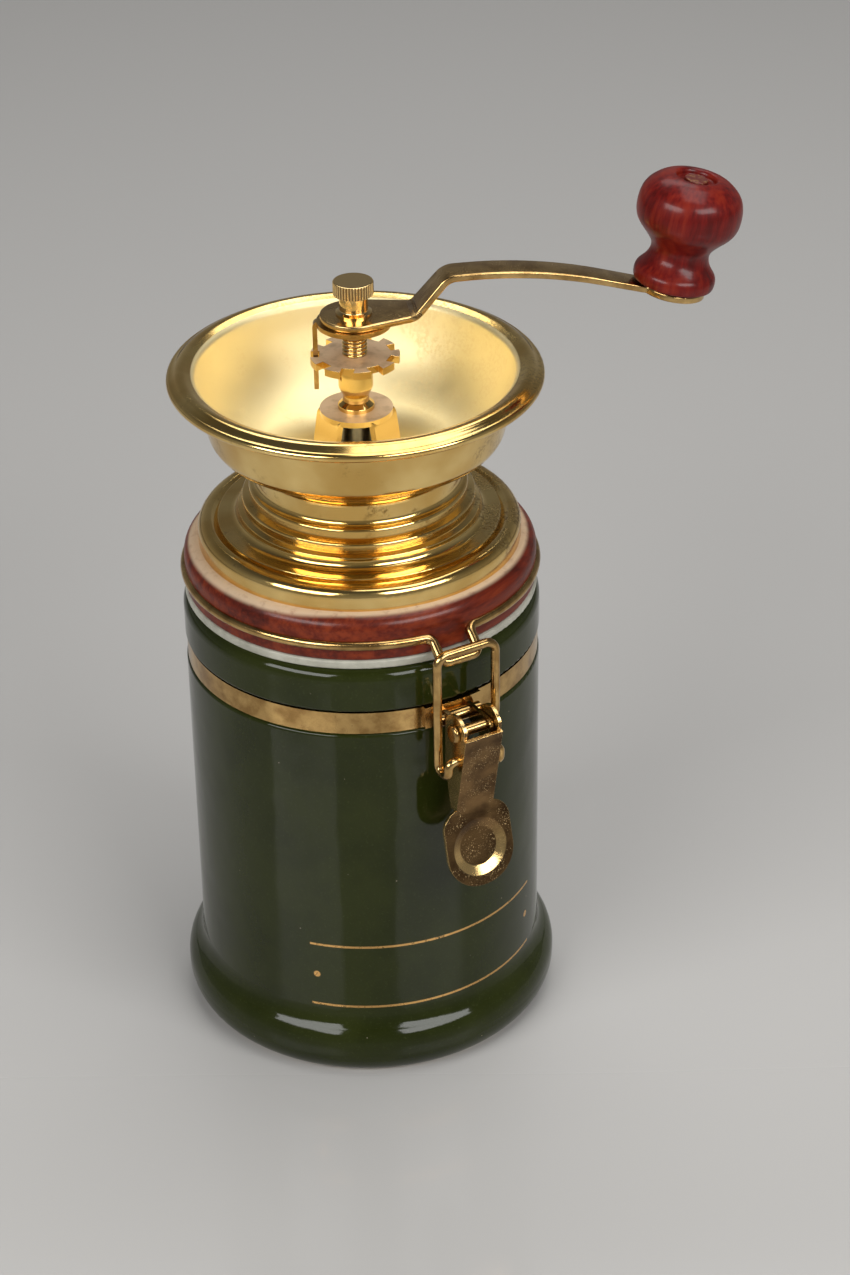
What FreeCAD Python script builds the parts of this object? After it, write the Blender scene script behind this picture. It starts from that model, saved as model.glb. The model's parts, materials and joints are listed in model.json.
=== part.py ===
import FreeCAD, Part
import math
import os

from FreeCAD import Vector

# Hand crank coffee grinder with a glazed jar, in millimetres.
# The origin is the centre of the jar's base on the table, +Z is up and the clamp faces -Y.
# A bearing is an angle in degrees from the front (-Y), growing towards +X.

# Clearances between pieces
running_clearance = 0.05
seat_clearance = 0.05
side_clearance = 0.3
hook_clearance = 0.35

# Small roundings
fine_rounding = 0.3
small_rounding = 0.4
edge_rounding = 0.8

# Jar
jar_height = 126.5
jar_radius = 46.9
jar_wall = 5.0
jar_floor = 6.0
collar_proud = 0.1
foot_bulge = 4.5
foot_height = 17.0
foot_low_corner = 3.2
foot_high_corner = 12.0
foot_rounding = 8.0
collar_rounding = 4.0
rim_width = 7.0
mouth_depth = 14.0
inside_rounding = 8.0

# Band round the jar, in its groove
band_drop = 12.7
band_width = 6.1
band_thickness = 1.0
groove_depth = 1.3
groove_rounding = 1.0

# Seal and lid
seal_thickness = 2.45
seal_inset = 0.7
seal_width = 5.5
seal_rounding = 0.7
lid_inset = 0.9
lid_thickness = 12.0
lid_top_rounding = 4.0
lid_low_rounding = 0.8
plug_gap = 1.5
plug_depth = 8.5

# Spring wire round the lid
wire_radius = 1.1
wire_inset = 0.2
wire_height_on_lid = 4.4
wire_bend = 2.2
wire_lead = 3.2
hook_inset = 3.1
hook_drop = 4.9

# Hinge at the back
hinge_stand = 3.0
hinge_rise = 1.5
knuckle_wall = 1.2
knuckle_length = 10.0
pintle_gap = 2.0
pintle_lead = 3.6
hinge_plate = 1.2
hinge_plate_half_angle = 6.5
hinge_foot_half_angle = 12.0
hinge_rivet_angle = 9.0
rivet_radius = 1.0
rivet_head_radius = 1.9
rivet_head_height = 0.8

# Front bracket, lever and link
sheet = 1.0
pivot_stand = 10.6
pivot_rise = 0.25
pivot_radius = 1.5
pivot_head_radius = 2.5
pivot_head_height = 1.1
pivot_head_rounding = 0.8
lug_gap = 6.4
lug_end_radius = 2.6
lug_rise = 2.0
lug_drop = 3.0
bracket_half_angle = 10.0
roll_radius = 1.8
roll_length = 12.6
roll_offset = 2.8
ear_clearance = 1.0
lever_tilt = 11.4
lever_front = 5.0
lever_top = 0.8
channel_length = 24.0
ear_taper_drop = 12.0
ear_taper_depth = 7.0
ear_foot_depth = 2.9
plate_tilt = 26.0
plate_overlap = 1.0
plate_half_width = 9.7
plate_length = 21.2
plate_shoulder = 5.5
plate_foot = 9.2
dish_drop = 10.7
dish_radius = 7.8
dish_depth = 1.2
dish_slope = 2.5
link_pivot_out = 2.8
link_pivot_drop = 6.9
link_wire_radius = 1.05
link_side_gap = 3.0
link_setback = 3.6
link_rise = 3.8
link_top_bend = 3.0
link_end_bend = 1.9
link_end_stand = 1.3
link_low_bend_share = 0.46
link_tight_bend = 1.2
link_joggle_rise = 1.0
link_joggle_fall = 6.0
link_joggle_bend = 4.0

# Stepped brass foot on the lid, from its wall inwards
flange_wall_height = 6.0
bead_rounding = 2.8
bead_width = 3.5
bead_fall = 1.7
step_drop = 1.0
step_rise = 0.3
cove_share = 0.748
cove_rounding = 2.2
cove_height = 2.9
ring_width = 1.2
ring_edge = 0.7
ring_height = 2.5
ring_ledge = 1.9
neck_foot_height = 2.4
neck_foot_rounding = 0.9
neck_inset = 2.0
neck_rounding = 1.8
neck_height = 10.1
neck_flare_height = 3.5
neck_flare = 3.0
flange_sheet = 1.2

# Hopper bowl, with a floor that falls towards the throat
floor_slope = 18.0
bowl_corner_radius = 37.5
bowl_corner_rounding = 6.0
bowl_depth = 20.7
bowl_flare = 4.2
bowl_sheet = 1.0
lip_crest_width = 2.7
lip_crest_rise = 1.0
lip_fall_width = 2.4
hem_drop = 0.7
hem_tube = 1.2
hole_inset = 1.0

# Three-legged bridge in the bowl
bridge_rise = 10.4
bridge_radius = 9.4
bridge_sheet = 1.5
leg_bearings = (30.0, 150.0, 270.0)
leg_width = 11.0
leg_top_radius = 7.0
leg_foot_radius = 9.2
foot_end = 2.3

# Shaft and what turns on it
shaft_radius = 2.85
shaft_low_step = 1.15
shaft_tail = 3.25
bush_wall = 1.25
bush_flange_width = 0.6
bush_flange_height = 2.1
bush_depth = 4.0
collar_height = 10.8
collar_neck_wall = 0.5
collar_ball_wall = 1.6
collar_top_wall = 1.05
collar_neck_height = 1.6
collar_ball_drop = 1.6
collar_ball_rise = 2.2
collar_ball_rounding = 2.0
star_thickness = 2.0
star_radius = 11.4
star_notches = 9
notch_width = 3.4
notch_depth = 2.4
thread_length = 8.2
stop_plate_thickness = 1.2
stop_plate_radius = 9.5
finger_bearing = -120.0
finger_inset = 0.9
finger_width = 2.4
finger_tail = 7.3

# Crank arm and knob
arm_bearing = 68.0
arm_thickness = 1.8
arm_hub_radius = 8.6
arm_hub_run = 15.7
arm_rise_run = 8.3
arm_crest_rise = 9.6
arm_crest_slope = 2.0
arm_knee_gap = 21.5
arm_end_slope = 15.0
arm_bow_share = 0.85
arm_bend = 4.0
arm_low_width = 9.6
arm_low_set = 0.6
arm_crest_width = 8.2
arm_crest_set = 0.5
arm_end_width = 7.0
arm_eye_radius = 8.2
hub_blend = 0.2
crank_radius = 81.4
axle_radius = 2.4
axle_head_width = 0.6
axle_head_height = 1.1
axle_foot_width = 2.0
knob_lean = 11.0
knob_washer_radius = 7.0
knob_washer_thickness = 0.5
knob_height = 29.0
knob_base_radius = 10.5
knob_waist_radius = 7.5
knob_waist_height = 8.6
knob_head_radius = 13.4
knob_head_height = 19.4
knob_recess_gap = 2.0
knob_recess_depth = 1.8
knob_recess_lip = 1.0
knob_foot_rounding = 1.2
knob_base_height = 3.6
knob_base_rounding = 1.6
knob_waist_drop = 2.4
knob_waist_rise = 1.2
knob_waist_rounding = 3.0
knob_head_drop = 3.6
knob_head_rounding = 5.0
knob_shoulder_drop = 4.6
knob_shoulder_rounding = 7.0

# Thumb nut on the shaft's end
nut_wall = 0.75
nut_neck_height = 5.2
nut_boss_width = 1.0
nut_boss_height = 1.0
nut_head_width = 1.55
nut_head_height = 3.6
nut_roof = 2.0
knurl_teeth = 40
knurl_depth = 0.3

# Grinding works under the lid
throat_radius = 15.0
throat_wall = 2.5
housing_wall = 4.0
housing_flange_width = 6.9
housing_flange_thickness = 3.0
housing_rounding = 0.8
housing_screw_bearings = (60.0, 180.0, 300.0)
screw_radius = 1.6
screw_head_radius = 2.6
screw_head_height = 1.6
screw_length = 8.0
burr_seat = 5.5
burr_height = 17.0
burr_cover = 6.5
burr_teeth = 14
burr_low_radius = 16.0
burr_high_radius = 9.4
burr_tooth_depth = 1.6
burr_twist = 24.0
tooth_slant = 0.7
burr_gap = 0.8
burr_high_gap = 2.4
burr_ring_wall = 2.1
lower_bridge_thickness = 3.0
lower_bridge_width = 11.0
lower_boss_wall = 3.0
lower_boss_rise = 1.5
nut_flat_width = 2.4
nut_height = 3.2
spring_washer_width = 4.0
spring_washer_sheet = 0.8

# Radii that follow from the sizes above
collar_radius = jar_radius + collar_proud
base_radius = collar_radius
mouth_radius = collar_radius - rim_width
groove_radius = jar_radius - groove_depth
band_radius = groove_radius + band_thickness
seal_radius = collar_radius - seal_inset
lid_radius = collar_radius - lid_inset
plug_radius = mouth_radius - plug_gap
wire_ring_radius = lid_radius - wire_inset
hinge_reach = collar_radius + hinge_stand
rear_half_width = knuckle_length / 2 + pintle_lead
pivot_reach = band_radius + pivot_stand
ear_radius = pivot_stand - roll_offset - roll_radius - ear_clearance
lug_outer = lug_gap / 2 + sheet
ear_inner = lug_outer + side_clearance
ear_outer = ear_inner + sheet
link_half_width = ear_outer + link_side_gap
link_right_width = ear_outer + link_tight_bend + side_clearance / 2
link_reach = pivot_reach - link_setback
hook_half_width = link_half_width - hook_inset
hook_reach = link_reach - link_wire_radius - hook_clearance - wire_radius
flange_radius = lid_radius - lid_top_rounding
bead_crest_radius = flange_radius - bead_width
step_radius = bead_crest_radius - bead_fall
cove_radius = cove_share * flange_radius
ring_radius = cove_radius - ring_width
neck_foot_radius = ring_radius - ring_ledge
neck_radius = neck_foot_radius - neck_inset
neck_top_radius = neck_radius + neck_flare
bowl_mouth_radius = bowl_corner_radius + bowl_flare
lip_crest_radius = bowl_mouth_radius + lip_crest_width
hem_radius = lip_crest_radius + lip_fall_width
bowl_hole_radius = throat_radius - hole_inset
throat_outer = throat_radius + throat_wall
bore_radius = throat_outer + running_clearance
neck_inside = neck_radius - flange_sheet
foot_rivet_reach = (throat_outer + neck_inside) / 2
foot_reach = foot_rivet_reach + foot_end
shaft_low_radius = shaft_radius + shaft_low_step
bush_radius = shaft_radius + bush_wall
bush_flange_radius = bush_radius + bush_flange_width
collar_neck_radius = shaft_radius + collar_neck_wall
collar_ball_radius = shaft_radius + collar_ball_wall
collar_top_radius = shaft_radius + collar_top_wall
finger_reach = star_radius - finger_inset
nut_neck_radius = shaft_radius + nut_wall
nut_boss_radius = nut_neck_radius + nut_boss_width
nut_head_radius = nut_neck_radius + nut_head_width
axle_head_radius = axle_radius + axle_head_width
axle_foot_radius = axle_radius + axle_foot_width
knob_recess_radius = axle_head_radius + knob_recess_gap
burr_ring_radius = burr_low_radius + burr_gap + burr_tooth_depth + burr_ring_wall
housing_radius = burr_ring_radius + housing_wall
housing_flange_radius = housing_radius + housing_flange_width
housing_screw_reach = housing_radius + housing_flange_width / 2
lower_screw_reach = housing_radius - housing_wall / 2
lower_boss_radius = shaft_low_radius + lower_boss_wall
nut_flat_radius = shaft_low_radius + nut_flat_width
spring_washer_radius = shaft_low_radius + spring_washer_width

# Heights that follow, from the jar up to the thumb nut and down to the burrs
band_top = jar_height - band_drop
band_low = band_top - band_width
band_middle = (band_low + band_top) / 2
pivot_height = band_middle + pivot_rise
seal_low = jar_height + seat_clearance
lid_low = seal_low + seal_thickness
lid_top = lid_low + lid_thickness
plug_low = lid_low - plug_depth
wire_height = lid_low + wire_height_on_lid
hook_height = wire_height - hook_drop
link_top = hook_height + link_rise
hinge_height = jar_height + hinge_rise
flange_top = lid_top + flange_wall_height
step_low = flange_top - step_drop
cove_low = flange_top + step_rise
cove_high = cove_low + cove_height
ring_low = cove_high + ring_edge
ring_top = ring_low + ring_height
neck_low = ring_top + ring_edge + neck_foot_height
bowl_floor_height = neck_low + neck_height
bowl_mouth_height = bowl_floor_height + bowl_depth
bridge_top = bowl_floor_height + bridge_rise
collar_low = bridge_top + bush_flange_height + seat_clearance
star_low = collar_low + collar_height
star_top = star_low + star_thickness
stop_plate_low = star_top + thread_length
arm_low = stop_plate_low + stop_plate_thickness
arm_top = arm_low + arm_thickness
nut_low = arm_top + seat_clearance
nut_neck_top = nut_low + nut_neck_height
nut_top = nut_neck_top + nut_head_height
shaft_top = nut_top - nut_roof - side_clearance
finger_length = thread_length + star_thickness + finger_tail
housing_bottom = plug_low - burr_cover - burr_height - burr_seat
burr_low = housing_bottom + burr_seat
burr_high = burr_low + burr_height
lower_bridge_low = housing_bottom - lower_bridge_thickness
burr_nut_low = lower_bridge_low - seat_clearance - nut_height
shaft_bottom = burr_nut_low - shaft_tail

# Runs and slopes of the crank arm
arm_crest_run = arm_hub_run + arm_rise_run
arm_knee_run = arm_crest_run + arm_knee_gap
arm_knee_rise = arm_crest_rise + arm_knee_gap * math.tan(math.radians(arm_crest_slope))
arm_fall = math.tan(math.radians(arm_end_slope))
eye_fall = math.tan(math.radians(knob_lean))
arm_bow_half_turn = math.radians(arm_crest_slope + arm_end_slope) / 2
arm_bow_radius = arm_bow_share * arm_knee_gap / math.tan(arm_bow_half_turn)
upward = Vector(0, 0, 1)
sideways = Vector(1, 0, 0)
origin = Vector(0, 0, 0)


def at_bearing(radius, bearing, height):
    """Point at a radius and bearing round the object's axis."""
    angle = math.radians(bearing)
    return Vector(radius * math.sin(angle), -radius * math.cos(angle), height)


def rounded_edges(corners, closed):
    """Edges through (point, rounding) corners, each rounded by a tangent arc."""
    count = len(corners)
    bends = []
    for index, (point, rounding) in enumerate(corners):
        at_end = not closed and index in (0, count - 1)
        if rounding <= 0 or at_end:
            bends.append((point, None, point))
            continue
        before = (point - corners[index - 1][0]).normalize()
        after = (corners[(index + 1) % count][0] - point).normalize()
        half_turn = before.getAngle(after) / 2
        inward = (after - before).normalize()
        centre = point + inward * (rounding / math.cos(half_turn))
        reach = rounding * math.tan(half_turn)
        bends.append((point - before * reach, centre - inward * rounding, point + after * reach))
    edges = []
    for index, (entry, middle, leave) in enumerate(bends):
        if middle is not None:
            edges.append(Part.Arc(entry, middle, leave).toShape())
        if index == count - 1 and not closed:
            break
        following = bends[(index + 1) % count][0]
        if (following - leave).Length > 1e-6:
            edges.append(Part.makeLine(leave, following))
    return edges


def flat_corners(corners, place):
    """Turn (a, b) or (a, b, rounding) tuples into corners by the place function."""
    return [(place(corner[0], corner[1]), corner[2] if len(corner) > 2 else 0.0) for corner in corners]


def turned(*corners):
    """Solid of revolution about the axis from (radius, height, rounding) corners."""
    path = flat_corners(corners, lambda radius, height: Vector(radius, 0, height))
    face = Part.Face(Part.Wire(rounded_edges(path, True)))
    return face.revolve(origin, upward, 360)


def offset_line(corners, distance):
    """Line parallel to an open line of corners, at a distance to its left."""
    moved = []
    last = len(corners) - 1
    for index, corner in enumerate(corners):
        here = Vector(corner[0], corner[1], 0)
        rounding = corner[2] if len(corner) > 2 else 0.0
        ahead = corners[min(index + 1, last)]
        behind = corners[max(index - 1, 0)]
        after = Vector(ahead[0], ahead[1], 0) - here
        before = here - Vector(behind[0], behind[1], 0)
        after = (after if index < last else before).normalize()
        before = (before if index > 0 else after).normalize()
        left_after = Vector(-after.y, after.x, 0)
        left_before = Vector(-before.y, before.x, 0)
        mitre = (left_after + left_before) * (distance / (1 + left_after.dot(left_before)))
        turn = before.cross(after).z
        new_rounding = rounding - distance if turn > 0 else rounding + distance
        moved.append((here.x + mitre.x, here.y + mitre.y, max(new_rounding, 0.0) if rounding else 0.0))
    return moved


def sheet_outline(corners, thickness):
    """Closed outline of a bent sheet: the line of corners and its left offset."""
    return list(corners) + offset_line(corners, thickness)[::-1]


def radial_strip(outline, width, bearing):
    """Prism of a (run, height, rounding) outline that runs out at a bearing."""
    path = flat_corners(outline, lambda run, height: Vector(-width / 2, -run, height))
    face = Part.Face(Part.Wire(rounded_edges(path, True)))
    strip = face.extrude(Vector(width, 0, 0))
    strip.rotate(origin, upward, bearing)
    return strip


def round_wire(edges, radius):
    """Round wire along tangent edges."""
    path = Part.Wire(edges)
    first = edges[0]
    start = first.valueAt(first.FirstParameter)
    along = first.tangentAt(first.FirstParameter)
    section = Part.Wire([Part.makeCircle(radius, start, along)])
    return path.makePipeShell([section], True, False)


def ring_sector(inner, outer, low, high, bearing, half_angle):
    """Part of a ring about the axis, centred on a bearing."""
    place = Vector(0, 0, low)
    solid = Part.makeCylinder(outer, high - low, place, upward, 2 * half_angle)
    solid = solid.cut(Part.makeCylinder(inner, high - low, place, upward, 360))
    solid.rotate(origin, upward, bearing - 90 - half_angle)
    return solid


def cross_pin(radius, reach, height, start, end):
    """Cylinder along X at a distance in front of the axis."""
    return Part.makeCylinder(radius, end - start, Vector(start, -reach, height), sideways)


def upright(radius, low, high, place=origin):
    """Vertical cylinder between two heights."""
    return Part.makeCylinder(radius, high - low, Vector(place.x, place.y, low), upward)


def mirrored(solid):
    """Copy of a solid on the other side of the clamp's middle plane."""
    return solid.mirror(origin, sideways)


def lever_point(out, down):
    """Reach and height of a point of the tilted lever, from its own out and down distances."""
    tilt = math.radians(lever_tilt)
    reach = pivot_reach + out * math.cos(tilt) - down * math.sin(tilt)
    height = pivot_height - out * math.sin(tilt) - down * math.cos(tilt)
    return reach, height


def ceramic_jar():
    """Glazed jar: bulged foot, straight body, band groove, rounded collar and mouth."""
    foot_radius = jar_radius + foot_bulge
    inside = jar_radius - jar_wall
    groove_low = band_low - side_clearance
    groove_high = band_top + side_clearance
    throat_low = jar_height - mouth_depth
    return turned(
        (0, 0),
        (base_radius, 0),
        (foot_radius, foot_low_corner, foot_rounding),
        (foot_radius, foot_high_corner, foot_rounding),
        (jar_radius, foot_height, foot_rounding),
        (jar_radius, groove_low, groove_rounding),
        (groove_radius, groove_low),
        (groove_radius, groove_high),
        (collar_radius, groove_high, groove_rounding),
        (collar_radius, jar_height, collar_rounding),
        (mouth_radius, jar_height, groove_rounding),
        (mouth_radius, throat_low, groove_rounding),
        (inside, throat_low - jar_wall, groove_rounding),
        (inside, jar_floor, inside_rounding),
        (0, jar_floor),
    )


def clamp_band():
    """Flat strap in the jar's groove, with holes for the hinge rivets."""
    band = turned(
        (groove_radius, band_low),
        (band_radius, band_low),
        (band_radius, band_top),
        (groove_radius, band_top),
    )
    for place in hinge_rivet_places():
        band = band.cut(radial_pin(rivet_radius, groove_radius - 1, band_radius + 1, place))
    return band


def radial_pin(radius, start, end, bearing):
    """Cylinder that points outwards at the band's mid height."""
    foot = at_bearing(start, bearing, band_middle)
    return Part.makeCylinder(radius, end - start, foot, at_bearing(1, bearing, 0))


def hinge_rivet_places():
    """Bearings of the two rivets of the hinge plate."""
    return (180 - hinge_rivet_angle, 180 + hinge_rivet_angle)


def clamp_bracket():
    """Saddle on the band with two lugs that hold the lever's rivet and the strap's roll."""
    saddle = ring_sector(band_radius, band_radius + sheet, band_low, band_top, 0, bracket_half_angle)
    lug_top = pivot_height + lug_rise
    lug_low = pivot_height - lug_drop
    root = math.sqrt(band_radius ** 2 - lug_outer ** 2) + sheet / 2
    tip = pivot_reach + lug_end_radius
    outline = [
        (root, lug_low),
        (tip, lug_low, lug_end_radius),
        (tip, lug_top, lug_rise),
        (root, lug_top),
    ]
    lug = radial_strip(outline, sheet, 0)
    lug.translate(Vector(lug_gap / 2 + sheet / 2, 0, 0))
    bracket = saddle.fuse([lug, mirrored(lug)])
    bracket = bracket.cut(cross_pin(pivot_radius, pivot_reach, pivot_height, -ear_outer, ear_outer))
    bracket = bracket.cut(band_roll())
    return bracket.removeSplitter()


def band_roll():
    """Rolled joint of the strap, across the lugs just in front of the band."""
    reach = band_radius + roll_offset
    return cross_pin(roll_radius, reach, band_middle, -roll_length / 2, roll_length / 2)


def lever_rivet():
    """Rivet of the lever: round head outside the left ear, flush at the right where the link passes."""
    inside_head = ear_outer + side_clearance / 2
    rivet = cross_pin(pivot_radius, pivot_reach, pivot_height, -inside_head, ear_outer)
    head = turned(
        (0, 0),
        (pivot_head_radius, 0),
        (pivot_head_radius, pivot_head_height, pivot_head_rounding),
        (0, pivot_head_height),
    )
    head.rotate(origin, Vector(0, 1, 0), -90)
    head.translate(Vector(-inside_head, -pivot_reach, pivot_height))
    return rivet.fuse(head)


def hinge_bracket():
    """Plate up the back of the collar with a rolled knuckle for the wire's pintles."""
    foot = ring_sector(band_radius, band_radius + hinge_plate, band_low, band_top, 180, hinge_foot_half_angle)
    plate_inner = collar_radius + side_clearance
    plate = ring_sector(
        plate_inner, plate_inner + hinge_plate, band_low, hinge_height, 180, hinge_plate_half_angle)
    half = knuckle_length / 2
    bore = wire_radius + running_clearance
    knuckle = cross_pin(bore + knuckle_wall, -hinge_reach, hinge_height, -half, half)
    bracket = foot.fuse([plate, knuckle])
    bracket = bracket.cut(cross_pin(bore, -hinge_reach, hinge_height, -2 * half, 2 * half))
    for place in hinge_rivet_places():
        bracket = bracket.cut(radial_pin(rivet_radius, groove_radius, plate_inner + 2 * hinge_plate, place))
    return bracket.removeSplitter()


def hinge_rivets():
    """Rivets that hold the hinge plate to the band."""
    rivets = []
    for place in hinge_rivet_places():
        face = band_radius + hinge_plate
        shank = radial_pin(rivet_radius, groove_radius + seat_clearance, face, place)
        head = radial_pin(rivet_head_radius, face, face + rivet_head_height, place)
        rivets.append(shank.fuse(head).removeSplitter())
    return Part.makeCompound(rivets)


def wire_edges():
    """Path of the lid's wire: pintle, side arc, front hook, side arc, pintle."""
    ring = wire_ring_radius
    stretch = math.hypot(ring, wire_lead)
    lead_angle = math.atan2(wire_lead, ring)
    front = math.degrees(math.asin(hook_half_width / stretch) + lead_angle)
    rear = 180 - math.degrees(math.asin(rear_half_width / stretch) + lead_angle)

    def tangent(bearing):
        angle = math.radians(bearing)
        return Vector(math.cos(angle), math.sin(angle), 0)

    side_start = at_bearing(ring, rear, wire_height)
    side_end = at_bearing(ring, front, wire_height)
    rear_corner = side_start + tangent(rear) * wire_lead
    front_corner = side_end - tangent(front) * wire_lead
    pintle = [
        (Vector(pintle_gap / 2, hinge_reach, hinge_height), 0),
        (Vector(rear_corner.x, hinge_reach, hinge_height), wire_bend),
        (rear_corner, wire_bend),
        (side_start, 0),
    ]
    hook_corner = Vector(front_corner.x, -hook_reach, hook_height)

    def flipped(point):
        return Vector(-point.x, point.y, point.z)

    hook = [
        (side_end, 0),
        (front_corner, wire_bend),
        (hook_corner, wire_bend),
        (flipped(hook_corner), wire_bend),
        (flipped(front_corner), wire_bend),
        (flipped(side_end), 0),
    ]
    left_pintle = [(flipped(point), rounding) for point, rounding in pintle[::-1]]
    side_middle = at_bearing(ring, (front + rear) / 2, wire_height)
    edges = rounded_edges(pintle, False)
    edges.append(Part.Arc(side_start, side_middle, side_end).toShape())
    edges += rounded_edges(hook, False)
    edges.append(Part.Arc(flipped(side_end), flipped(side_middle), flipped(side_start)).toShape())
    edges += rounded_edges(left_pintle, False)
    return edges


def lid_wire():
    """Spring wire that holds the lid: hook in front, pintles behind."""
    return round_wire(wire_edges(), wire_radius)


def wooden_lid():
    """Turned lid with a plug, a bore for the throat and a groove that the wire lies in."""
    lid = turned(
        (bore_radius, plug_low),
        (plug_radius, plug_low, lid_low_rounding),
        (plug_radius, lid_low),
        (lid_radius, lid_low, lid_low_rounding),
        (lid_radius, lid_top, lid_top_rounding),
        (bore_radius, lid_top),
    )
    lid = lid.cut(round_wire(wire_edges(), wire_radius + running_clearance))
    for bearing in housing_screw_bearings:
        place = at_bearing(housing_screw_reach, bearing, 0)
        lid = lid.cut(upright(screw_radius, plug_low - 1, plug_low + screw_length, place))
    return lid


def lid_seal():
    """Flat ring between the jar's rim and the lid."""
    return turned(
        (seal_radius - seal_width, seal_low),
        (seal_radius, seal_low, seal_rounding),
        (seal_radius, lid_low, seal_rounding),
        (seal_radius - seal_width, lid_low),
    )


def base_flange():
    """Stepped spun foot: wall, half-round bead, step, cove, ring and hollow neck."""
    inner_ring = ring_radius - flange_sheet
    inner_cove = cove_radius - flange_sheet
    inner_wall = flange_radius - flange_sheet
    return turned(
        (flange_radius, lid_top),
        (flange_radius, flange_top, bead_rounding),
        (bead_crest_radius, flange_top, ring_edge),
        (step_radius, step_low),
        (step_radius, cove_low, ring_edge / 2),
        (cove_radius, cove_low, cove_rounding),
        (cove_radius, cove_high, ring_edge / 2),
        (ring_radius, ring_low),
        (ring_radius, ring_top, ring_edge),
        (neck_foot_radius, ring_top + ring_edge),
        (neck_foot_radius, neck_low, neck_foot_rounding),
        (neck_radius, neck_low + ring_edge, neck_rounding),
        (neck_radius, bowl_floor_height - neck_flare_height, 2 * neck_rounding),
        (neck_top_radius, bowl_floor_height),
        (neck_inside, floor_height(neck_inside)),
        (neck_inside, ring_top + ring_edge - flange_sheet),
        (inner_ring, ring_top - flange_sheet),
        (inner_ring, ring_low - flange_sheet),
        (inner_cove, cove_high - flange_sheet),
        (inner_cove, cove_low - flange_sheet),
        (step_radius - flange_sheet, cove_low - flange_sheet),
        (step_radius - flange_sheet, step_low - flange_sheet),
        (inner_wall, step_low - flange_sheet),
        (inner_wall, lid_top),
    )


def floor_height(radius):
    """Height of the sloped floor's lower face at a radius."""
    return bowl_floor_height + (radius - neck_top_radius) * math.tan(math.radians(floor_slope))


def on_floor(solid, bearing):
    """Move a solid turned about Z onto the floor's lower face, square to it, under a leg's foot."""
    solid.rotate(origin, sideways, -floor_slope)
    solid.rotate(origin, upward, bearing)
    solid.translate(at_bearing(foot_rivet_reach, bearing, floor_height(foot_rivet_reach)))
    return solid


def bowl_line():
    """Outer line of the bowl's sheet, from the hole in its floor to its rim."""
    crest_height = bowl_mouth_height + lip_crest_rise
    return [
        (bowl_hole_radius, floor_height(bowl_hole_radius)),
        (bowl_corner_radius, floor_height(bowl_corner_radius), bowl_corner_rounding),
        (bowl_mouth_radius, bowl_mouth_height, bowl_sheet),
        (lip_crest_radius, crest_height, 2 * bowl_sheet),
        (hem_radius, bowl_mouth_height - hem_drop),
    ]


def hopper_bowl():
    """Spun bowl with a funnel floor, a convex lip and a rolled hem."""
    outline = sheet_outline(bowl_line(), bowl_sheet)
    bowl = turned(*outline)
    hem = Part.makeTorus(hem_radius, hem_tube, Vector(0, 0, bowl_mouth_height - hem_drop), upward)
    bowl = bowl.fuse(hem).removeSplitter()
    for bearing in leg_bearings:
        bowl = bowl.cut(on_floor(upright(rivet_radius, -bowl_sheet, 2 * bowl_sheet), bearing))
    return bowl


def bearing_bridge():
    """Stamped bridge: a round table on three bent legs with feet on the bowl's floor."""
    low = bridge_top - bridge_sheet
    bridge = upright(bridge_radius, low, bridge_top)
    floor_lift = bowl_sheet / math.cos(math.radians(floor_slope))
    leg_line = [
        (bridge_radius / 2, low),
        (leg_top_radius, low, bridge_sheet / 2),
        (leg_foot_radius, floor_height(leg_foot_radius) + floor_lift, 2 * bridge_sheet),
        (foot_reach, floor_height(foot_reach) + floor_lift),
    ]
    outline = sheet_outline(leg_line, bridge_sheet)
    for bearing in leg_bearings:
        bridge = bridge.fuse(radial_strip(outline, leg_width, bearing))
    bridge = bridge.cut(hopper_bowl())
    for bearing in leg_bearings:
        bridge = bridge.cut(on_floor(upright(rivet_radius, 0, bowl_sheet + 2 * bridge_sheet), bearing))
    bridge = bridge.cut(upright(bush_radius, low - 1, bridge_top + bridge_sheet))
    return bridge.removeSplitter()


def bridge_rivets():
    """Rivets of the bridge's feet, through the bowl's floor."""
    foot_top = bowl_sheet + bridge_sheet
    rivets = []
    for bearing in leg_bearings:
        shank = upright(rivet_radius, 0, foot_top)
        head = upright(rivet_head_radius, foot_top, foot_top + rivet_head_height)
        tail = upright(rivet_head_radius, -rivet_head_height, 0)
        rivets.append(on_floor(shank.fuse([head, tail]).removeSplitter(), bearing))
    return Part.makeCompound(rivets)


def shaft_bush():
    """Flanged bush that the shaft turns in."""
    bore = shaft_radius + running_clearance
    return turned(
        (bore, bridge_top - bush_depth),
        (bush_radius, bridge_top - bush_depth),
        (bush_radius, bridge_top),
        (bush_flange_radius, bridge_top),
        (bush_flange_radius, bridge_top + bush_flange_height / 2, fine_rounding),
        (collar_neck_radius, bridge_top + bush_flange_height),
        (bore, bridge_top + bush_flange_height),
    )


def drive_shaft():
    """Shaft from the thumb nut down to the lower bearing."""
    shoulder = bridge_top - bush_depth - side_clearance
    return turned(
        (0, shaft_bottom),
        (shaft_low_radius, shaft_bottom),
        (shaft_low_radius, shoulder),
        (shaft_radius, shoulder),
        (shaft_radius, shaft_top),
        (0, shaft_top),
    )


def ball_collar():
    """Ball-shaped collar between the bush and the star wheel."""
    middle = (collar_low + star_low) / 2
    return turned(
        (shaft_radius, collar_low),
        (collar_neck_radius, collar_low),
        (collar_neck_radius, collar_low + collar_neck_height, small_rounding),
        (collar_ball_radius, middle - collar_ball_drop, collar_ball_rounding),
        (collar_ball_radius, middle + collar_ball_rise, collar_ball_rounding),
        (collar_top_radius, star_low),
        (shaft_radius, star_low),
    )


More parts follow.
